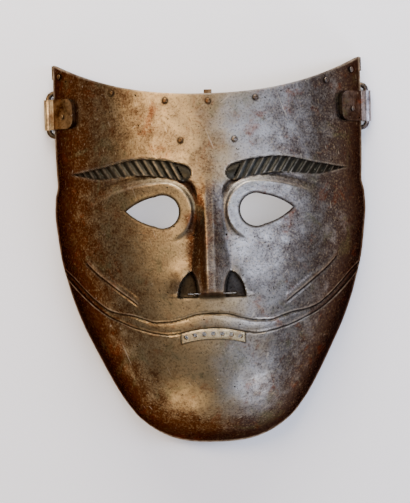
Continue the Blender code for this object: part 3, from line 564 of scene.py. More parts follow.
def choose(*pieces):
    """Makes these the only selected objects, and the first one active."""
    bpy.ops.object.select_all(action="DESELECT")
    for piece in pieces:
        piece.select_set(True)
    bpy.context.view_layer.objects.active = pieces[0]


def join(*pieces):
    """One object out of several, under the first one's name."""
    choose(*pieces)
    bpy.ops.object.join()
    return pieces[0]


def apply_modifier(piece, kind, **settings):
    """Adds a modifier with its settings, and applies it."""
    modifier = piece.modifiers.new(kind.title(), kind)
    for key, value in settings.items():
        setattr(modifier, key, value)
    choose(piece)
    bpy.ops.object.modifier_apply(modifier=modifier.name)


def cut(piece, cutter, operation="DIFFERENCE"):
    """Cuts a closed shape out of a piece, or welds it on, and clears it away."""
    apply_modifier(piece, "BOOLEAN", object=cutter, operation=operation, solver="EXACT")
    bpy.data.objects.remove(cutter)


def smooth(piece):
    """Shades a piece smooth between its sharp edges."""
    choose(piece)
    bpy.ops.object.shade_smooth_by_angle(angle=SMOOTH_ANGLE)


def prism(outline):
    """Upright prism right through the face, on a closed outline that runs anticlockwise."""
    low = FACE_DEPTH / 2
    high = FACE_DEPTH + NOSE_HEIGHT
    ring = len(outline)
    points = [(x, y, low) for x, y in outline] + [(x, y, high) for x, y in outline]
    faces = [tuple(range(ring))[::-1], tuple(range(ring, 2 * ring))]
    for index in range(ring):
        after = (index + 1) % ring
        faces.append((index, after, ring + after, ring + index))
    return new_piece("prism", points, [], faces)


def upright_on_plate(x, y):
    """Frame whose origin is on the plain outer face at (x, y) and whose Z is its normal."""
    normal = Vector(base_normal(np.array(x), np.array(y)))
    turn = Vector((0, 0, 1)).rotation_difference(normal).to_matrix().to_4x4()
    return Matrix.Translation(Vector(surface(np.array(x), np.array(y)))) @ turn


def mouth_y(x):
    """Middle of the arched mouth slot."""
    return MOUTH_Y - MOUTH_ARCH * (2 * x / MOUTH_WIDTH) ** 2


def mouth_outline(grow):
    """Arched mouth slot, grown by a margin all round."""
    half = MOUTH_WIDTH / 2 + grow
    xs = np.linspace(-half, half, MOUTH_STEPS + 1)
    thick = MOUTH_HEIGHT / 2 + grow
    lower = [(x, mouth_y(x) - thick) for x in xs]
    return lower + [(x, mouth_y(x) + thick) for x in reversed(xs)]


def rivet_places():
    """Name, x, y and outer offset of each rivet."""
    places = []
    for number, share in enumerate(TOP_RIVETS, start=1):
        x = share * HALF_WIDTH
        slope = float(top_edge(x + SLOPE_STEP) - top_edge(x - SLOPE_STEP)) / (2 * SLOPE_STEP)
        inset = EDGE_RIVET_INSET * math.hypot(1.0, slope)
        places.append((f"top_rivet_{number}", x, float(top_edge(x)) - inset, 0.0))
    for number, side in enumerate((-1, 1), start=1):
        x = side * FOREHEAD_RIVET_OUT
        places.append((f"forehead_rivet_{number}", x, HALF_HEIGHT - FOREHEAD_RIVET_DROP, 0.0))
    for word, side in (("left", -1), ("right", 1)):
        x = side * (LEAF_RIM - LEAF_RIVET_REACH)
        places.append((f"hinge_rivet_{word}", x, LEAF_Y - LEAF_RIVET_DROP, SEAT_GAP + LEAF_THICKNESS))
    return places


def round_bar(sides, radius, length, place):
    """Solid round bar, made upright about the origin and moved to its place in its mesh."""
    bpy.ops.object.select_all(action="DESELECT")
    bpy.ops.mesh.primitive_cylinder_add(vertices=sides, radius=radius, depth=length)
    bar = bpy.context.object
    bar.data.transform(place)
    return bar


def round_punch(x, y, radius=RIVET_SHANK + RIVET_CLEARANCE):
    """Round cutter that stands through the plate at (x, y), for a rivet where no radius is given."""
    return round_bar(PUNCH_SIDES, radius, 2 * CUT_PAST, upright_on_plate(x, y))


x, y = plate_grid(PLATE_COLUMNS, PLATE_ROWS)
outer = np.stack((x, y, base_height(x, y) + forms(x, y) + chasing(x, y) + dents(x, y)), axis=-1)
# Each inner point follows the lowest form near it, so the coarser inside never comes out through the face
x, y = plate_grid(PLATE_COLUMNS // INSIDE_COARSER, PLATE_ROWS // INSIDE_COARSER)
padded = np.pad(forms(x, y), 1, mode="edge")
lowest = np.min([padded[a:a + x.shape[0], b:b + x.shape[1]] for a in range(3) for b in range(3)], axis=0)
inner = np.stack((x, y, base_height(x, y) + lowest), axis=-1) - base_normal(x, y) * PLATE
plate = sheet_piece("mask_sheet", outer, inner)

openings = [prism(mouth_outline(SEAT_GAP))]
for side in (-1, 1):
    line = EYE_LINE * (side, 1)
    openings.append(prism(line[::side]))
    slot_in = side * NOSTRIL_IN
    slot_out = side * (NOSTRIL_IN + BREATH_SLOT_LENGTH)
    low = NOSE_FOOT + BREATH_SLOT_UP - BREATH_SLOT_WIDTH / 2
    high = low + BREATH_SLOT_WIDTH
    slot = [(slot_in, low), (slot_out, low), (slot_out, high), (slot_in, high)]
    openings.append(prism(slot[::side]))
for _, rivet_x, rivet_y, _ in rivet_places():
    openings.append(round_punch(rivet_x, rivet_y))
cut(plate, join(*openings))

# What the steel reads at each point: wear on crests and edges, painted shade in hollows and round the holes
# and rivets, a painted sheen strong in the middle that fades to painted shade at the rim and on the nose's
# flanks, a painted cool reflection on the nose's right side, the distances above the chased lines in
# millimetres, and the ropes of the brows
RELIEF_STEP = 0.0007
HOLLOW_STEP = 0.0028
CREST_BEND = 0.00030
GROOVE_BEND = 0.00034
BROAD_BEND = 0.0015
CREST_WEAR = 0.45
BROAD_WEAR = 0.20
HOLLOW_SHADE = 0.7
EDGE_WEAR_WIDTH = 0.0013
RIDGE_WEAR = 0.45
RIVET_HEAD = 0.00175
RIVET_SHADE = 0.0010
MOUTH_SHADE = 0.0012
EYE_SHADE_REACH = 1.4
FOOT_SHADE_REACH = 1.4
FOOT_SHADE = 0.8
MOUTH_SHADE_REACH = 1.2
NOSTRIL_SHADE_CURVE = 0.45
STEEP_FLANK = 1.15
RIGHT_FLANK_SHARE = 0.56
FLANK_SHADE = 0.80
FLANK_SHADE_LEFT = 0.0148
FLANK_SHADE_RIGHT = 0.0094
FLANK_SHADE_WIDTH = 0.0060
FLANK_SHADE_REACH = 1.6
FLANK_SOFT = 0.0016
FLANK_BLUR = 0.0066
DULL_WIDTH = 0.0090
DULL_NARROWING = 0.55
DULL_BROW = 0.30
DULL_NOSE = 0.25
CHEEK_STAIN = 0.17
CHEEK_STAIN_RIGHT = 0.0225
CHEEK_STAIN_RADIUS = 0.0105
SHEEN_CURVE = 1.5
SHEEN_CHIN = 0.0300
OUTER_FACE = 1.5
LINE_REACH = 4.0
ROPE_BROAD = 0.62
ROPE_DULL = 0.24
MILLIMETRES = 1000


def bend(x, y, step):
    """How far the beaten form stands below its neighbours at a step: above 0 in hollows, below on crests."""
    def height(at_x, at_y):
        return forms(at_x, at_y) + eye_lip(np.abs(at_x), at_y) + cheek_fold(np.abs(at_x), at_y) / 2
    around = height(x + step, y) + height(x - step, y) + height(x, y + step) + height(x, y - step)
    return around / 4 - height(x, y)


places = np.empty(len(plate.data.vertices) * 3)
plate.data.vertices.foreach_get("co", places)
x, y, z = places.reshape(-1, 3).T
side = np.abs(x)
outside = ease((z - base_height(x, y) - forms(x, y)) / PLATE + OUTER_FACE)
fine = bend(x, y, RELIEF_STEP)
broad = bend(x, y, HOLLOW_STEP)
chin_edge = CHIN_Y + CHIN_DROP * clamp(side / JAW_HALF_WIDTH) ** CHIN_CURVE
edge = np.minimum(np.minimum(half_width(y) - side, top_edge(x) - y), y - chin_edge)
wear = CREST_WEAR * clamp(-fine / CREST_BEND) + BROAD_WEAR * clamp(-broad / BROAD_BEND)
wear = np.where((side < NOSE_HALF_WIDTH) & (y < NOSE_TOP) & (y > NOSE_FOOT), RIDGE_WEAR * wear, wear)
wear = np.maximum(wear, ease(1 - edge / EDGE_WEAR_WIDTH))
# Painted shade: darker in hollows and grooves, in the nostril hollows, under the nose, round the eye holes
# and the mouth slot, and in a ring round each rivet head
under_nose = ease(FOOT_SHADE_REACH - np.abs(y - NOSE_FOOT) / NOSTRIL_SILL)
from_mouth = np.maximum(np.abs(y - mouth_y(x)) - MOUTH_HEIGHT / 2, side - MOUTH_WIDTH / 2)
shades = [HOLLOW_SHADE * (clamp(fine / GROOVE_BEND) + clamp(broad / BROAD_BEND)),
          ease(EYE_SHADE_REACH - from_eye_line(side, y) / EYE_LIP_WIDTH),
          nostril_hollow(side, y) ** NOSTRIL_SHADE_CURVE,
          FOOT_SHADE * under_nose * (side < NOSTRIL_IN + NOSTRIL_WIDTH),
          ease(MOUTH_SHADE_REACH - from_mouth / MOUTH_SHADE)]
for _, rivet_x, rivet_y, _ in rivet_places():
    shades.append(ease(1 - (np.hypot(x - rivet_x, y - rivet_y) - RIVET_HEAD) / RIVET_SHADE))
soot = np.max(shades, axis=0)

# Painted shade on the nose's steep flanks and in the valley between an eye pad and the nose, weaker on the
# right
beside = from_ridge(x)
flank_shade = (nose_form(beside, y) - nose_form(beside + RELIEF_STEP, y)) / RELIEF_STEP
flank_shade = clamp(flank_shade / STEEP_FLANK)
from_pad = np.hypot(side - EYE_OUT, y - EYE_UP) - PAD_RADIUS
along_pad = ease(from_pad / FLANK_SOFT) * ease(FLANK_SHADE_REACH - from_pad / FLANK_SHADE_WIDTH)
along_pad = along_pad * (side < EYE_OUT)
along_nose = ease((np.where(x < 0, FLANK_SHADE_LEFT, FLANK_SHADE_RIGHT) - side) / FLANK_BLUR + 0.5)
above_eye = ease((y - EYE_UP) / EYE_RADIUS + 0.5)
stain_and_shade = along_pad * above_eye + along_nose * ease((y - NOSE_FOOT) / NOSTRIL_HEIGHT) * (1 - above_eye)
flank_shade = np.maximum(flank_shade, stain_and_shade * FLANK_SHADE * ease((NOSE_TOP - y) / FLANK_SHADE_WIDTH))
flank_shade *= ease(beside / FLANK_SOFT) * np.where(x > 0, RIGHT_FLANK_SHARE, 1.0)
# Painted sheen: lighter in the middle of the plate, fading to painted shade towards the rim and the chin, and
# less on the shaded flanks
painted_sheen = (1 - clamp(side / half_width(y)) ** SHEEN_CURVE) * ease((y - CHIN_Y) / SHEEN_CHIN)
painted_sheen *= 1 - flank_shade

# A dull streak down the middle, narrower on the nose, and a dull spot on the right cheek
on_nose = ease((NOSE_TOP - y) / NOSTRIL_HEIGHT)
streak = np.exp(-(x / (DULL_WIDTH * (1 - DULL_NARROWING * on_nose))) ** 2)
painted_sheen -= (DULL_BROW + DULL_NOSE * on_nose) * streak * ease((y - NOSE_FOOT) / FLANK_SOFT)
painted_sheen -= CHEEK_STAIN * np.exp(-((x - CHEEK_STAIN_RIGHT) ** 2 + y ** 2) / CHEEK_STAIN_RADIUS ** 2)
# Painted cool reflection: the right half's grey carried over the nose's right side, which faces the cool
# light
nose_cool_reflection = ease((x + RIDGE_LEFT) / FLANK_SOFT + 0.5) * on_nose * ease((y - NOSE_FOOT) / FLANK_BLUR)

above_upper, above_lower = moustache_lines(side, y)
above_fold, fold_share = fold_line(side, y)
above_fold = np.where(fold_share > 0.5, above_fold, LINE_REACH / MILLIMETRES)
lines = np.stack((above_upper, above_lower, above_fold), axis=-1) * MILLIMETRES
lines[outside < 0.5] = LINE_REACH
_, _, _, in_brow = brow_place(side, y)
turns = rope_turns(side, y)
crest = np.where(turns < 0, 0.0, -np.cos(2 * math.pi * turns))
crest = np.where(x < 0, ROPE_BROAD + ROPE_DULL * crest, crest)
ropes = np.stack((in_brow * outside, crest, np.zeros(len(x))), axis=-1)
for name, values in (("worn", clamp(wear * outside)), ("soot", clamp(soot * outside)),
                     ("painted_sheen", clamp(painted_sheen)), ("nose_cool_reflection", nose_cool_reflection),
                     ("chased_lines", np.clip(lines, -LINE_REACH, LINE_REACH)), ("brow_ropes", ropes)):
    kind, key = ("FLOAT", "value") if values.ndim == 1 else ("FLOAT_VECTOR", "vector")
    layer = plate.data.attributes.new(name, kind, "POINT")
    layer.data.foreach_set(key, values.astype(np.float32).ravel())
smooth(plate)


# ---- Patinated steel
# Mild steel hammered, filed, and browned by age and old oil: a dark oxide skin that still reflects as metal,
# golden brown to the left and grey to the right, partly patina and partly a painted reflection of the warm
# left and cool right lights, with rust, pits and scratches, and rubbed bright on the crests. On the plate a
# painted sheen, painted shade and painted highlights are laid over it. The specular tint darkens its grazing
# reflection, as oxide and oil do.

def linear(colour):
    """Linear RGBA of an sRGB hex colour."""
    parts = [int(colour[index:index + 2], 16) / 255 for index in (1, 3, 5)]
    return (*[part / 12.92 if part <= 0.04045 else ((part + 0.055) / 1.055) ** 2.4 for part in parts], 1.0)


def per(millimetres):
    """Scale of a pattern that repeats once in that many millimetres."""
    return MILLIMETRES / millimetres


def add(material, kind, sockets=None, output=0, **settings):
    """Adds a node with its settings, sets or links its sockets, and gives one of its outputs."""
    node = material.node_tree.nodes.new("ShaderNode" + kind)
    for key, value in settings.items():
        setattr(node, key, value)
    for socket, value in (sockets or {}).items():
        if isinstance(value, bpy.types.NodeSocket):
            material.node_tree.links.new(value, node.inputs[socket])
        else:
            node.inputs[socket].default_value = value
    return node.outputs[output]


def browned_steel(name, warm, cool, bare_and_highlight, tone, roughness=0.42, layers=False):
    """Browned, pitted and rubbed steel from dark and light hex pairs. With layers, it reads the plate's wear,
    painted sheen, painted shade, painted highlights and painted cool reflection.
    """
    m = bpy.data.materials.new(name)
    m.use_nodes = True
    shader = m.node_tree.nodes["Principled BSDF"]
    shader.inputs["Metallic"].default_value = 1.0
    shader.inputs["Specular Tint"].default_value = linear("#8C7468")
    place = add(m, "TexCoord", output="Object")

    # Blotches of the oxide skin at three sizes: 36 mm drifts, 8 mm stains and the 1.3 mm grain of the scale
    drift = add(m, "TexNoise", {"Vector": place, "Scale": per(36), "Detail": 4.0, "Roughness": 0.55})
    stains = add(m, "TexNoise", {"Vector": place, "Scale": per(8), "Detail": 6.0, "Roughness": 0.66})
    grain = add(m, "TexNoise", {"Vector": place, "Scale": per(1.3), "Detail": 3.0, "Roughness": 0.7})
    blotch = add(m, "Math", {0: drift, 1: 0.4}, operation="MULTIPLY")
    blotch = add(m, "Math", {0: stains, 1: 0.6, 2: blotch}, operation="MULTIPLY_ADD")
    if layers:
        # The painted sheen lightens the tone in the middle of the plate
        sheen = add(m, "Attribute", attribute_name="painted_sheen", output="Fac")
        for pattern, strength in ((sheen, 0.60), (stains, 0.15), (grain, 0.30)):
            blotch = add(m, "Math", {0: pattern, 1: strength, 2: blotch}, operation="MULTIPLY_ADD")
    share = add(m, "MapRange", {0: blotch, 1: tone[0], 2: tone[1]}, interpolation_type="SMOOTHSTEP")

    # Golden brown to the left, grey to the right, partly patina and partly a painted reflection of the warm
    # left and cool right lights, with a ragged border beside the nose
    across = add(m, "SeparateXYZ", {0: place}, output="X")
    across = add(m, "Math", {0: drift, 1: 0.09, 2: across}, operation="MULTIPLY_ADD")
    if layers:
        # The painted cool reflection moves the border onto the nose's right side
        nose_cool_reflection = add(m, "Attribute", attribute_name="nose_cool_reflection", output="Fac")
        across = add(m, "Math", {0: nose_cool_reflection, 1: 0.026, 2: across}, operation="MULTIPLY_ADD")
    right = add(m, "MapRange", {0: across, 1: 0.043, 2: 0.078}, interpolation_type="SMOOTHSTEP")
    halves = [add(m, "Mix", {0: share, 6: linear(dark), 7: linear(light)}, data_type="RGBA", output=2)
              for dark, light in (warm, cool)]
    colour = add(m, "Mix", {0: right, 6: halves[0], 7: halves[1]}, data_type="RGBA", output=2)

    # Laid over it in turn: rust bloom, olive oil stains, golden flecks, dark scale and black pits. Each row
    # has a pattern, the values where it starts and is full, its strength and its colour.
    rust = add(m, "TexNoise", {"Vector": place, "Scale": per(14), "Detail": 7.0, "Roughness": 0.72,
                               "Distortion": 0.4})
    olive = add(m, "TexNoise", {"Vector": place, "Scale": per(19), "Detail": 6.0, "Roughness": 0.6,
                                "Distortion": 0.9})
    pits = add(m, "TexNoise", {"Vector": place, "Scale": per(1.9), "Detail": 1.0, "Roughness": 0.4})
    for pattern, start, full, strength, stain_and_shade in ((rust, 0.55, 0.68, 0.55, "#6A371C"),
                                                  (olive, 0.56, 0.70, 0.45, "#59583F"),
                                                  (grain, 0.52, 0.72, 0.50, warm[1]),
                                                  (grain, 0.50, 0.30, 0.55, "#1C120C"),
                                                  (pits, 0.28, 0.21, 1.00, "#140D09")):
        laid = add(m, "MapRange", {0: pattern, 1: start, 2: full, 4: strength},
                   interpolation_type="SMOOTHSTEP")
        colour = add(m, "Mix", {0: laid, 6: colour, 7: linear(stain_and_shade)}, data_type="RGBA", output=2)

    # Two sets of scratches, drawn about 0.7 mm wide so that they show at all
    for slant, seed in ((0.35, 1.0), (-0.95, 4.0)):
        turned = add(m, "Mapping", {"Vector": place, "Location": (seed, seed, seed),
                                    "Rotation": (0.0, 0.0, slant), "Scale": (1.0, 26.0, 1.0)},
                     vector_type="TEXTURE")
        streak = add(m, "TexNoise", {"Vector": turned, "Scale": per(1.4), "Detail": 0.0})
        streak = add(m, "MapRange", {0: streak, 1: 0.81, 2: 0.85, 4: 0.30},
                     interpolation_type="SMOOTHSTEP")
        colour = add(m, "Mix", {0: streak, 6: colour, 7: linear(bare_and_highlight)}, data_type="RGBA", output=2)

    rough = add(m, "MapRange", {0: stains, 1: 0.3, 2: 0.7, 3: roughness + 0.08, 4: roughness - 0.08})
    # The pits, laid last, are sunk, and the scale stands up
    height = add(m, "Math", {0: grain, 1: 0.7}, operation="MULTIPLY")
    height = add(m, "Math", {0: laid, 1: -0.8, 2: height}, operation="MULTIPLY_ADD")
    height = add(m, "Math", {0: stains, 1: 0.6, 2: height}, operation="MULTIPLY_ADD")
    if layers:
        # Painted shade: nearly black where the painted sheen fades, at the rim and on the nose's steep flanks
        rim_shade = add(m, "MapRange", {0: sheen, 1: 0.30, 2: 0.0, 4: 0.60}, interpolation_type="SMOOTHSTEP")
        colour = add(m, "Mix", {0: rim_shade, 6: colour, 7: linear("#24160E")}, data_type="RGBA", output=2)
        patchy = add(m, "TexNoise", {"Vector": place, "Scale": per(4.5), "Detail": 5.0, "Roughness": 0.7})
        patchy = add(m, "MapRange", {0: patchy, 1: 0.38, 2: 0.62, 3: 0.25, 4: 1.0})
        worn = add(m, "Attribute", attribute_name="worn", output="Fac")
        soot = add(m, "Attribute", attribute_name="soot", output="Fac")
        # Ropes of the brows: the sunk band laid dark grey-green, under painted highlights on the crests, thin
        # on the right brow and broader but fainter on the left
        ropes = add(m, "Attribute", attribute_name="brow_ropes", output="Vector")
        in_brow = add(m, "SeparateXYZ", {0: ropes}, output="X")
        crest = add(m, "SeparateXYZ", {0: ropes}, output="Y")
        crest = add(m, "MapRange", {0: crest, 1: 0.66, 2: 0.98, 4: 0.5})
        crest = add(m, "Math", {0: crest, 1: in_brow}, operation="MULTIPLY")
        # Chased lines: painted shade along the bottom, about 1 mm wide, and a painted highlight on the lip
        # 0.9 mm beside it
        lines = add(m, "Attribute", attribute_name="chased_lines", output="Vector")
        marks = []
        for shift, width, strength in (((0.0, 0.0, 0.0), 0.92, 0.95), ((0.90, -0.90, 0.90), 0.55, 0.40)):
            away = add(m, "VectorMath", {0: lines, 1: shift}, operation="SUBTRACT")
            away = add(m, "VectorMath", {0: away}, operation="ABSOLUTE")
            parts = [add(m, "SeparateXYZ", {0: away}, output=axis) for axis in "XYZ"]
            nearest = add(m, "Math", {0: parts[0], 1: parts[1]}, operation="MINIMUM")
            nearest = add(m, "Math", {0: nearest, 1: parts[2]}, operation="MINIMUM")
            marks.append(add(m, "MapRange", {0: nearest, 1: width, 2: 0.1, 4: strength},
                             interpolation_type="SMOOTHSTEP"))
        soot = add(m, "Math", {0: soot, 1: marks[0]}, operation="MAXIMUM")
        worn = add(m, "Math", {0: worn, 1: marks[1]}, operation="MAXIMUM")
        worn = add(m, "Math", {0: worn, 1: crest}, operation="MAXIMUM")
        worn = add(m, "Math", {0: worn, 1: patchy}, operation="MULTIPLY")
        # Laid in turn: the brows' dark band, wear with the painted highlights, and the painted shade
        for layer, strength, stain_and_shade in ((in_brow, 0.93, "#22221D"), (worn, 0.75, bare_and_highlight),
                                       (soot, 0.82, "#150E0A")):
            laid = add(m, "Math", {0: layer, 1: strength}, operation="MULTIPLY")
            colour = add(m, "Mix", {0: laid, 6: colour, 7: linear(stain_and_shade)}, data_type="RGBA", output=2)
        rough = add(m, "Math", {0: soot, 1: 0.2, 2: rough}, operation="MULTIPLY_ADD")
    bump = add(m, "Bump", {"Height": height, "Strength": 0.6, "Distance": 0.00027})
    for socket, value in (("Base Color", colour), ("Roughness", rough), ("Normal", bump)):
        m.node_tree.links.new(value, shader.inputs[socket])
    return m


def finish_piece(piece, body, material, node):
    """Gives a finished piece its steel and its body, and hides the solid that it stands for."""
    piece.data.materials.clear()
    piece.data.materials.append(material)
    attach(piece, body)
    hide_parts(node)


patina = browned_steel("browned_hammered_steel", ("#462914", "#978363"), ("#423630", "#908B85"), "#C4B49C",
                       (0.835, 1.395), roughness=0.39, layers=True)
finish_piece(plate, "mask", patina, "mask_plate")


# ---- The mouth strip
# A bright, much handled strip of steel let into the mouth slot, arched like a lip and drilled with a row of
# seven round breath holes. A flange behind the plate holds it, and its edges are worn round.

STRIP_FLANGE = 0.0030
STRIP_FLANGE_THICKNESS = 0.0010
STRIP_HOLE = 0.0015
STRIP_HOLES = 7
STRIP_COLUMNS = 80
STRIP_ROWS = 12
STRIP_ROUNDING = 0.0005
STRIP_ROUND_WIDTH = 0.0009


def strip_body(name, grow, high, low, rounding):
    """Arched strip that follows the plate between two offsets, rounded at its front edges."""
    half = MOUTH_WIDTH / 2 + grow
    thick = MOUTH_HEIGHT / 2 + grow
    x, across = np.meshgrid(np.linspace(-half, half, STRIP_COLUMNS + 1),
                            np.linspace(1.0, -1.0, STRIP_ROWS + 1))
    y = mouth_y(x) + across * thick
    from_edge = np.minimum(half - np.abs(x), thick - np.abs(across) * thick)
    drop = rounding * clamp(1 - from_edge / STRIP_ROUND_WIDTH) ** 2
    return sheet_piece(name, surface(x, y, high - drop), surface(x, y, low))


back = PLATE + SEAT_GAP
strip = strip_body("pierced_strip", 0.0, PLATE / 2, -back - STRIP_FLANGE_THICKNESS / 2, STRIP_ROUNDING)
flange = strip_body("strip_flange", STRIP_FLANGE, -back, -back - STRIP_FLANGE_THICKNESS, 0.0)
cut(strip, flange, "UNION")
holes = []
for number in range(STRIP_HOLES):
    hole_x = MOUTH_WIDTH * ((number + 0.5) / STRIP_HOLES - 0.5)
    holes.append(round_punch(hole_x, float(mouth_y(hole_x)), STRIP_HOLE))
cut(strip, join(*holes))
smooth(strip)
bright = browned_steel("bright_handled_steel", ("#7E6C52", "#CFBC97"), ("#7A6A52", "#C6B188"), "#FFF8EA",
                       (0.36, 0.56))
finish_piece(strip, "mask", bright, "mouth_strip")


# ---- The edge band and hanging tab
# A narrow strip riveted inside the top edge stiffens it, and its ends are turned out past the plate's sides.
# The flat tab behind the middle rivet stands a little above the edge.

BAND_WIDTH = 0.0088
BAND_THICKNESS = 0.0010
BAND_END_TURN = 0.0024
BAND_END_DROP = 0.0019
BAND_COLUMNS = 120
BAND_ROWS = 4
BAND_BEVEL = 0.00025
BEVEL_ANGLE = math.radians(50)
TAB_X = 0.0010
TAB_WIDTH = 0.0051
TAB_LENGTH = 0.0150
TAB_RISE = 0.0030
TAB_THICKNESS = 0.0012
TAB_BEVEL = 0.0003


def band_face(x, y, offset):
    """One face of the band, whose ends are turned out past the plate's sides."""
    face = surface(x, y, offset)
    left = face[:, :1] + np.array((-BAND_END_TURN, 0.0, -BAND_END_DROP))
    right = face[:, -1:] + np.array((BAND_END_TURN, 0.0, -BAND_END_DROP))
    return np.concatenate((left, face, right), axis=1)


x, down = np.meshgrid(np.linspace(-TOP_HALF_WIDTH, TOP_HALF_WIDTH, BAND_COLUMNS + 1),
                      np.linspace(0.0, 1.0, BAND_ROWS + 1))
y = top_edge(x) - SEAT_GAP - down * BAND_WIDTH
x = np.clip(x, -half_width(y), half_width(y))
band = sheet_piece("stiffening_band", band_face(x, y, -PLATE - SEAT_GAP),
                   band_face(x, y, -PLATE - SEAT_GAP - BAND_THICKNESS))
cut(band, join(*[round_punch(rivet_x, rivet_y) for name, rivet_x, rivet_y, _ in rivet_places()
                 if name.startswith("top_")]))
apply_modifier(band, "BEVEL", width=BAND_BEVEL, segments=2, limit_method="ANGLE", angle_limit=BEVEL_ANGLE)
smooth(band)
band_steel = browned_steel("browned_strip_steel", ("#3E2A1A", "#8A6F50"), ("#3C302A", "#7D736C"), "#BFAF97",
                           (0.40, 0.64))
finish_piece(band, "mask", band_steel, "edge_band")

tab_place = upright_on_plate(TAB_X, float(top_edge(TAB_X)) - EDGE_RIVET_INSET)
tab_depth = PLATE + BAND_THICKNESS + 2 * SEAT_GAP
bpy.ops.object.select_all(action="DESELECT")
bpy.ops.mesh.primitive_cube_add(size=1.0)
tab = bpy.context.object
tab.name = "hanging_tab_plate"
tab_middle = (0.0, EDGE_RIVET_INSET + TAB_RISE - TAB_LENGTH / 2, -tab_depth - TAB_THICKNESS / 2)
tab.data.transform(Matrix.Diagonal((TAB_WIDTH, TAB_LENGTH, TAB_THICKNESS, 1.0)))
tab.data.transform(tab_place @ Matrix.Translation(tab_middle))
middle_rivet = f"top_rivet_{len(TOP_RIVETS) // 2 + 1}"
middle_x, middle_y = next((place[1], place[2]) for place in rivet_places() if place[0] == middle_rivet)
cut(tab, round_punch(middle_x, middle_y))
apply_modifier(tab, "BEVEL", width=TAB_BEVEL, segments=3, limit_method="ANGLE", angle_limit=BEVEL_ANGLE)
smooth(tab)
finish_piece(tab, "mask", band_steel, "hanging_tab")


# ---- The rivets
# Iron rivets with low round heads, set cold through plate, band, tab or hinge leaf and hammered flat behind.
# Each rivet is turned by spinning its outline, with a shank of its own length.

RIVET_HEAD_HEIGHT = 0.0009
RIVET_HEAD_EDGE = 0.0002
RIVET_TAIL = 0.0014
RIVET_TAIL_FLAT = 0.00084
RIVET_TAIL_HEIGHT = 0.0006
RIVET_TAIL_SHOULDER = 0.00054
RIVET_TAIL_EDGE = 0.0004
RIVET_SIDES = 28
RIVET_DOME_STEPS = 6
MERGE_DISTANCE = 0.000005


def turned_piece(name, profile, sides):
    """Solid spun from an outline of (radius, height) points about Z, seam and poles closed."""
    piece = new_piece(name, [(radius, 0.0, height) for radius, height in profile],
                      [(index, index + 1) for index in range(len(profile) - 1)], [])
    choose(piece)
    bpy.ops.object.mode_set(mode="EDIT")
    bpy.ops.mesh.select_all(action="SELECT")
    bpy.ops.mesh.spin(steps=sides, angle=2 * math.pi, center=(0, 0, 0), axis=(0, 0, 1))
    bpy.ops.mesh.select_all(action="SELECT")
    bpy.ops.mesh.remove_doubles(threshold=MERGE_DISTANCE)
    bpy.ops.mesh.normals_make_consistent(inside=False)
    bpy.ops.object.mode_set(mode="OBJECT")
    return piece


rivet_iron = browned_steel("cold_set_iron", ("#3C2918", "#745B3D"), ("#3B302B", "#6C635B"), "#C8B89C",
                           (0.36, 0.60), roughness=0.38)
for name, rivet_x, rivet_y, above in rivet_places():
    behind = PLATE
    if name.startswith("top_"):
        behind += BAND_THICKNESS + SEAT_GAP
    if name == middle_rivet:
        behind += TAB_THICKNESS + SEAT_GAP
    head = above + SEAT_GAP
    tail = -behind - SEAT_GAP
    dome = [(RIVET_HEAD * math.cos(turn),
             head + RIVET_HEAD_EDGE + (RIVET_HEAD_HEIGHT - RIVET_HEAD_EDGE) * math.sin(turn))
            for turn in np.linspace(0.0, math.pi / 2, RIVET_DOME_STEPS + 1)[:-1]]
    profile = [(0.0, tail - RIVET_TAIL_HEIGHT), (RIVET_TAIL_FLAT, tail - RIVET_TAIL_SHOULDER),
               (RIVET_TAIL, tail - RIVET_TAIL_EDGE), (RIVET_TAIL, tail), (RIVET_SHANK, tail),
               (RIVET_SHANK, head), (RIVET_HEAD, head), *dome, (0.0, head + RIVET_HEAD_HEIGHT)]
    rivet = turned_piece(name + "_iron", profile, RIVET_SIDES)
    rivet.data.transform(upright_on_plate(rivet_x, rivet_y))
    smooth(rivet)
    finish_piece(rivet, "mask", rivet_iron, name)


# ---- The hinge leaves
# A strip folded round the bar of the strap loop and riveted flat to the plate's side: its rounded inner end
# lies on the face, and its fold makes the barrel that the loop turns in.

LEAF_HEIGHT = 0.0196
LEAF_REACH = 0.0145
LEAF_CORNER_HEIGHT = 0.0062
LEAF_CORNER_LENGTH = 0.0037
LEAF_COLUMNS = 28
LEAF_ROWS = 24
LOOP_BAR = 0.0016
LOOP_CLEARANCE = 0.0003
BARREL_RADIUS = 0.0029
BARREL_PROUD = 0.0003
BARREL_SIDES = 32
LEAF_END_CROWDING = 1.5


def leaf_faces(side, axis):
    """Outer and inner face of a leaf, which follows the plate and then turns in to the barrel's axis."""
    from_end = LEAF_REACH * np.linspace(0.0, 1.0, LEAF_COLUMNS + 1) ** LEAF_END_CROWDING
    from_end, up = np.meshgrid(from_end, np.linspace(1.0, -1.0, LEAF_ROWS + 1))
    inside = clamp(1 - from_end / LEAF_CORNER_LENGTH)
    corner = LEAF_CORNER_HEIGHT * (1 - np.sqrt(1 - inside ** 2))
    y = LEAF_Y + up * (LEAF_HEIGHT / 2 - BARREL_PROUD - corner)
    x = np.minimum(LEAF_RIM - LEAF_REACH + from_end, half_width(y))
    front = surface(x, y, SEAT_GAP + LEAF_THICKNESS) * (side, 1, 1)
    rear = surface(x, y, SEAT_GAP) * (side, 1, 1)
    through = (rear[0, -1] - front[0, -1]) / 2
    front_foot = front[:, -1:] * (0, 1, 0) + axis - through
    rear_foot = rear[:, -1:] * (0, 1, 0) + axis + through
    front = np.concatenate((front, front_foot), axis=1)
    rear = np.concatenate((rear, rear_foot), axis=1)
    if side < 0:
        return front[:, ::-1], rear[:, ::-1]
    return front, rear


hinge_steel = browned_steel("folded_strap_steel", ("#33200F", "#6A533A"), ("#30251F", "#594E48"), "#C8B8A0",
                            (0.38, 0.62), roughness=0.36)
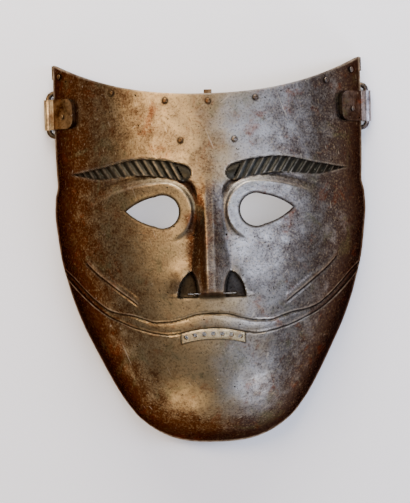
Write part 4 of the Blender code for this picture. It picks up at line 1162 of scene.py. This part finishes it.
# Lighter copy of the strap steel for the barrels: a painted reflection of the light they catch
barrel_reflection_steel = browned_steel("painted_reflection_barrel_steel", ("#80694C", "#C6AC84"), ("#6C6564", "#A69FA0"), "#EDE2D0",
                             (0.36, 0.60), roughness=0.34)
for joint in frame["joints"]:
    word = joint["child"].split("_")[0]
    side = -1 if word == "left" else 1
    axis = np.array((joint["pos_m"][0], 0.0, joint["pos_m"][2]))
    leaf = sheet_piece(word + "_hinge_strap", *leaf_faces(side, axis))
    along_axis = Matrix.Translation((axis[0], LEAF_Y, axis[2])) @ Matrix.Rotation(math.radians(-90), 4, "X")
    cut(leaf, round_bar(BARREL_SIDES, BARREL_RADIUS, LEAF_HEIGHT, along_axis), "UNION")
    bore = round_bar(BARREL_SIDES, LOOP_BAR + LOOP_CLEARANCE, LEAF_HEIGHT + 2 * CUT_PAST, along_axis)
    rivet_x = side * (LEAF_RIM - LEAF_RIVET_REACH)
    cut(leaf, join(bore, round_punch(rivet_x, LEAF_Y - LEAF_RIVET_DROP)))
    smooth(leaf)
    finish_piece(leaf, "mask", hinge_steel, "hinge_leaf_" + word)
    # The barrel's faces, past the plate's rim, take the painted reflection
    leaf.data.materials.append(barrel_reflection_steel)
    for face in leaf.data.polygons:
        if side * face.center.x > LEAF_RIM:
            face.material_index = 1


# ---- The strap loops
# Oval rings of round wire, bent shut inside the barrels. They swing freely, and at rest they lie folded in
# under the rim with the far bar on the floor. A strap round the head passed through them.

LOOP_LENGTH = 0.0305
LOOP_WIDTH = 0.0190
LOOP_CORNER = 0.0037
LOOP_STEPS = 48
WIRE_SIDES = 20

loop_run = LOOP_WIDTH - 2 * LOOP_BAR
loop_tilt = math.asin((BARREL_RADIUS - LOOP_BAR) / loop_run)
wire_steel = browned_steel("drawn_iron_wire", ("#2C2118", "#6C583F"), ("#2F2825", "#6B625E"), "#BDB09E",
                           (0.38, 0.62), roughness=0.34)
for joint in frame["joints"]:
    word = joint["child"].split("_")[0]
    side = -1 if word == "left" else 1
    bpy.ops.object.select_all(action="DESELECT")
    bpy.ops.mesh.primitive_torus_add(major_segments=LOOP_STEPS, minor_segments=WIRE_SIDES,
                                     major_radius=LOOP_CORNER, minor_radius=LOOP_BAR)
    loop = bpy.context.object
    loop.name = word + "_strap_ring"
    loop.data.transform(Matrix.Rotation(math.pi / LOOP_STEPS, 4, "Z"))
    for vertex in loop.data.vertices:
        vertex.co.x += math.copysign(loop_run / 2 - LOOP_CORNER, vertex.co.x) + loop_run / 2
        vertex.co.y += math.copysign((LOOP_LENGTH - 2 * LOOP_BAR) / 2 - LOOP_CORNER, vertex.co.y)
    tilt = Matrix.Rotation(loop_tilt, 4, "Y")
    turn = Matrix.Rotation(math.pi, 4, "Z") if side > 0 else Matrix.Identity(4)
    loop.data.transform(Matrix.Translation(joint["pos_m"]) @ turn @ tilt)
    smooth(loop)
    finish_piece(loop, joint["child"], wire_steel, "strap_loop_" + word)


# ---- Floor, light and camera
# A pale matt floor, a tall soft light high on each side, a wide one beyond the forehead, a low one at each
# side of the chin, a faint one overhead and a small one under the open top edge. The camera looks down
# through a long lens.

FLOOR_SIZE = 8.0
FLOOR_DROP = 0.0002
CAMERA_DISTANCE = 3.5
CAMERA_LOOKS_AT = (-0.0040, -0.0002, 0.030)
CAMERA_ROLL = math.radians(1.7)
CAMERA_RIGHT = math.radians(0.6)
FRAME_HEIGHT = 0.3208
SENSOR = 36.0
WORLD_STRENGTH = 0.33

bpy.ops.object.select_all(action="DESELECT")
bpy.ops.mesh.primitive_plane_add(size=FLOOR_SIZE, location=(0, 0, -FLOOR_DROP))
floor = bpy.context.object
floor.name = "floor"
paper = bpy.data.materials.new("matt_paper")
paper.use_nodes = True
paper_sockets = paper.node_tree.nodes["Principled BSDF"].inputs
paper_sockets["Base Color"].default_value = linear("#FBF9FA")
paper_sockets["Roughness"].default_value = 0.95
paper_sockets["Specular IOR Level"].default_value = 0.1
floor.data.materials.append(paper)
floor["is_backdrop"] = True


def soft_light(name, place, size, power, colour, aim=(0.0, 0.0, 0.03)):
    """Rectangular soft light that faces the mask."""
    data = bpy.data.lights.new(name, "AREA")
    data.shape = "RECTANGLE"
    data.size, data.size_y = size
    data.energy = power
    data.color = linear(colour)[:3]
    light = bpy.data.objects.new(name, data)
    bpy.context.scene.collection.objects.link(light)
    light.location = place
    light.rotation_euler = (Vector(aim) - Vector(place)).to_track_quat("-Z", "Y").to_euler()
    light.visible_camera = False


soft_light("left_strip_light", (-0.85, 0.40, 1.45), (0.40, 1.20), 19.0, "#FFE3C0")
soft_light("right_strip_light", (0.95, 0.05, 1.40), (0.40, 1.90), 24.0, "#D2E0FF")
soft_light("overhead_light", (0.0, 0.35, 2.40), (1.20, 1.20), 3.0, "#FFF2E4")
soft_light("forehead_light", (0.0, 1.70, 0.95), (1.60, 0.60), 34.0, "#FFF6EC")
soft_light("left_chin_light", (-0.70, -1.42, 0.50), (0.60, 0.50), 6.4, "#FFE4C0")
soft_light("right_chin_light", (0.94, -1.17, 0.65), (0.50, 0.50), 12.0, "#D6E3FF")
soft_light("under_light", (0.0, 0.50, 0.16), (0.36, 0.08), 2.4, "#F4F8FF", aim=(0.0, 0.03, 0.0))

world = bpy.data.worlds.new("studio")
bpy.context.scene.world = world
world.use_nodes = True
sky = world.node_tree.nodes["Background"].inputs
sky["Color"].default_value = linear("#E9EBF0")
sky["Strength"].default_value = WORLD_STRENGTH

camera_data = bpy.data.cameras.new("camera")
camera_data.sensor_width = SENSOR
camera_data.lens = SENSOR * CAMERA_DISTANCE / FRAME_HEIGHT
camera = bpy.data.objects.new("camera", camera_data)
bpy.context.scene.collection.objects.link(camera)
away = Vector((math.sin(CAMERA_RIGHT), 0.0, math.cos(CAMERA_RIGHT)))
up = Vector((math.sin(CAMERA_ROLL), math.cos(CAMERA_ROLL), 0.0))
right = up.cross(away).normalized()
up = away.cross(right)
turned = Matrix((right, up, away)).transposed().to_4x4()
camera.matrix_world = Matrix.Translation(Vector(CAMERA_LOOKS_AT) + away * CAMERA_DISTANCE) @ turned
bpy.context.scene.camera = camera

low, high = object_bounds()
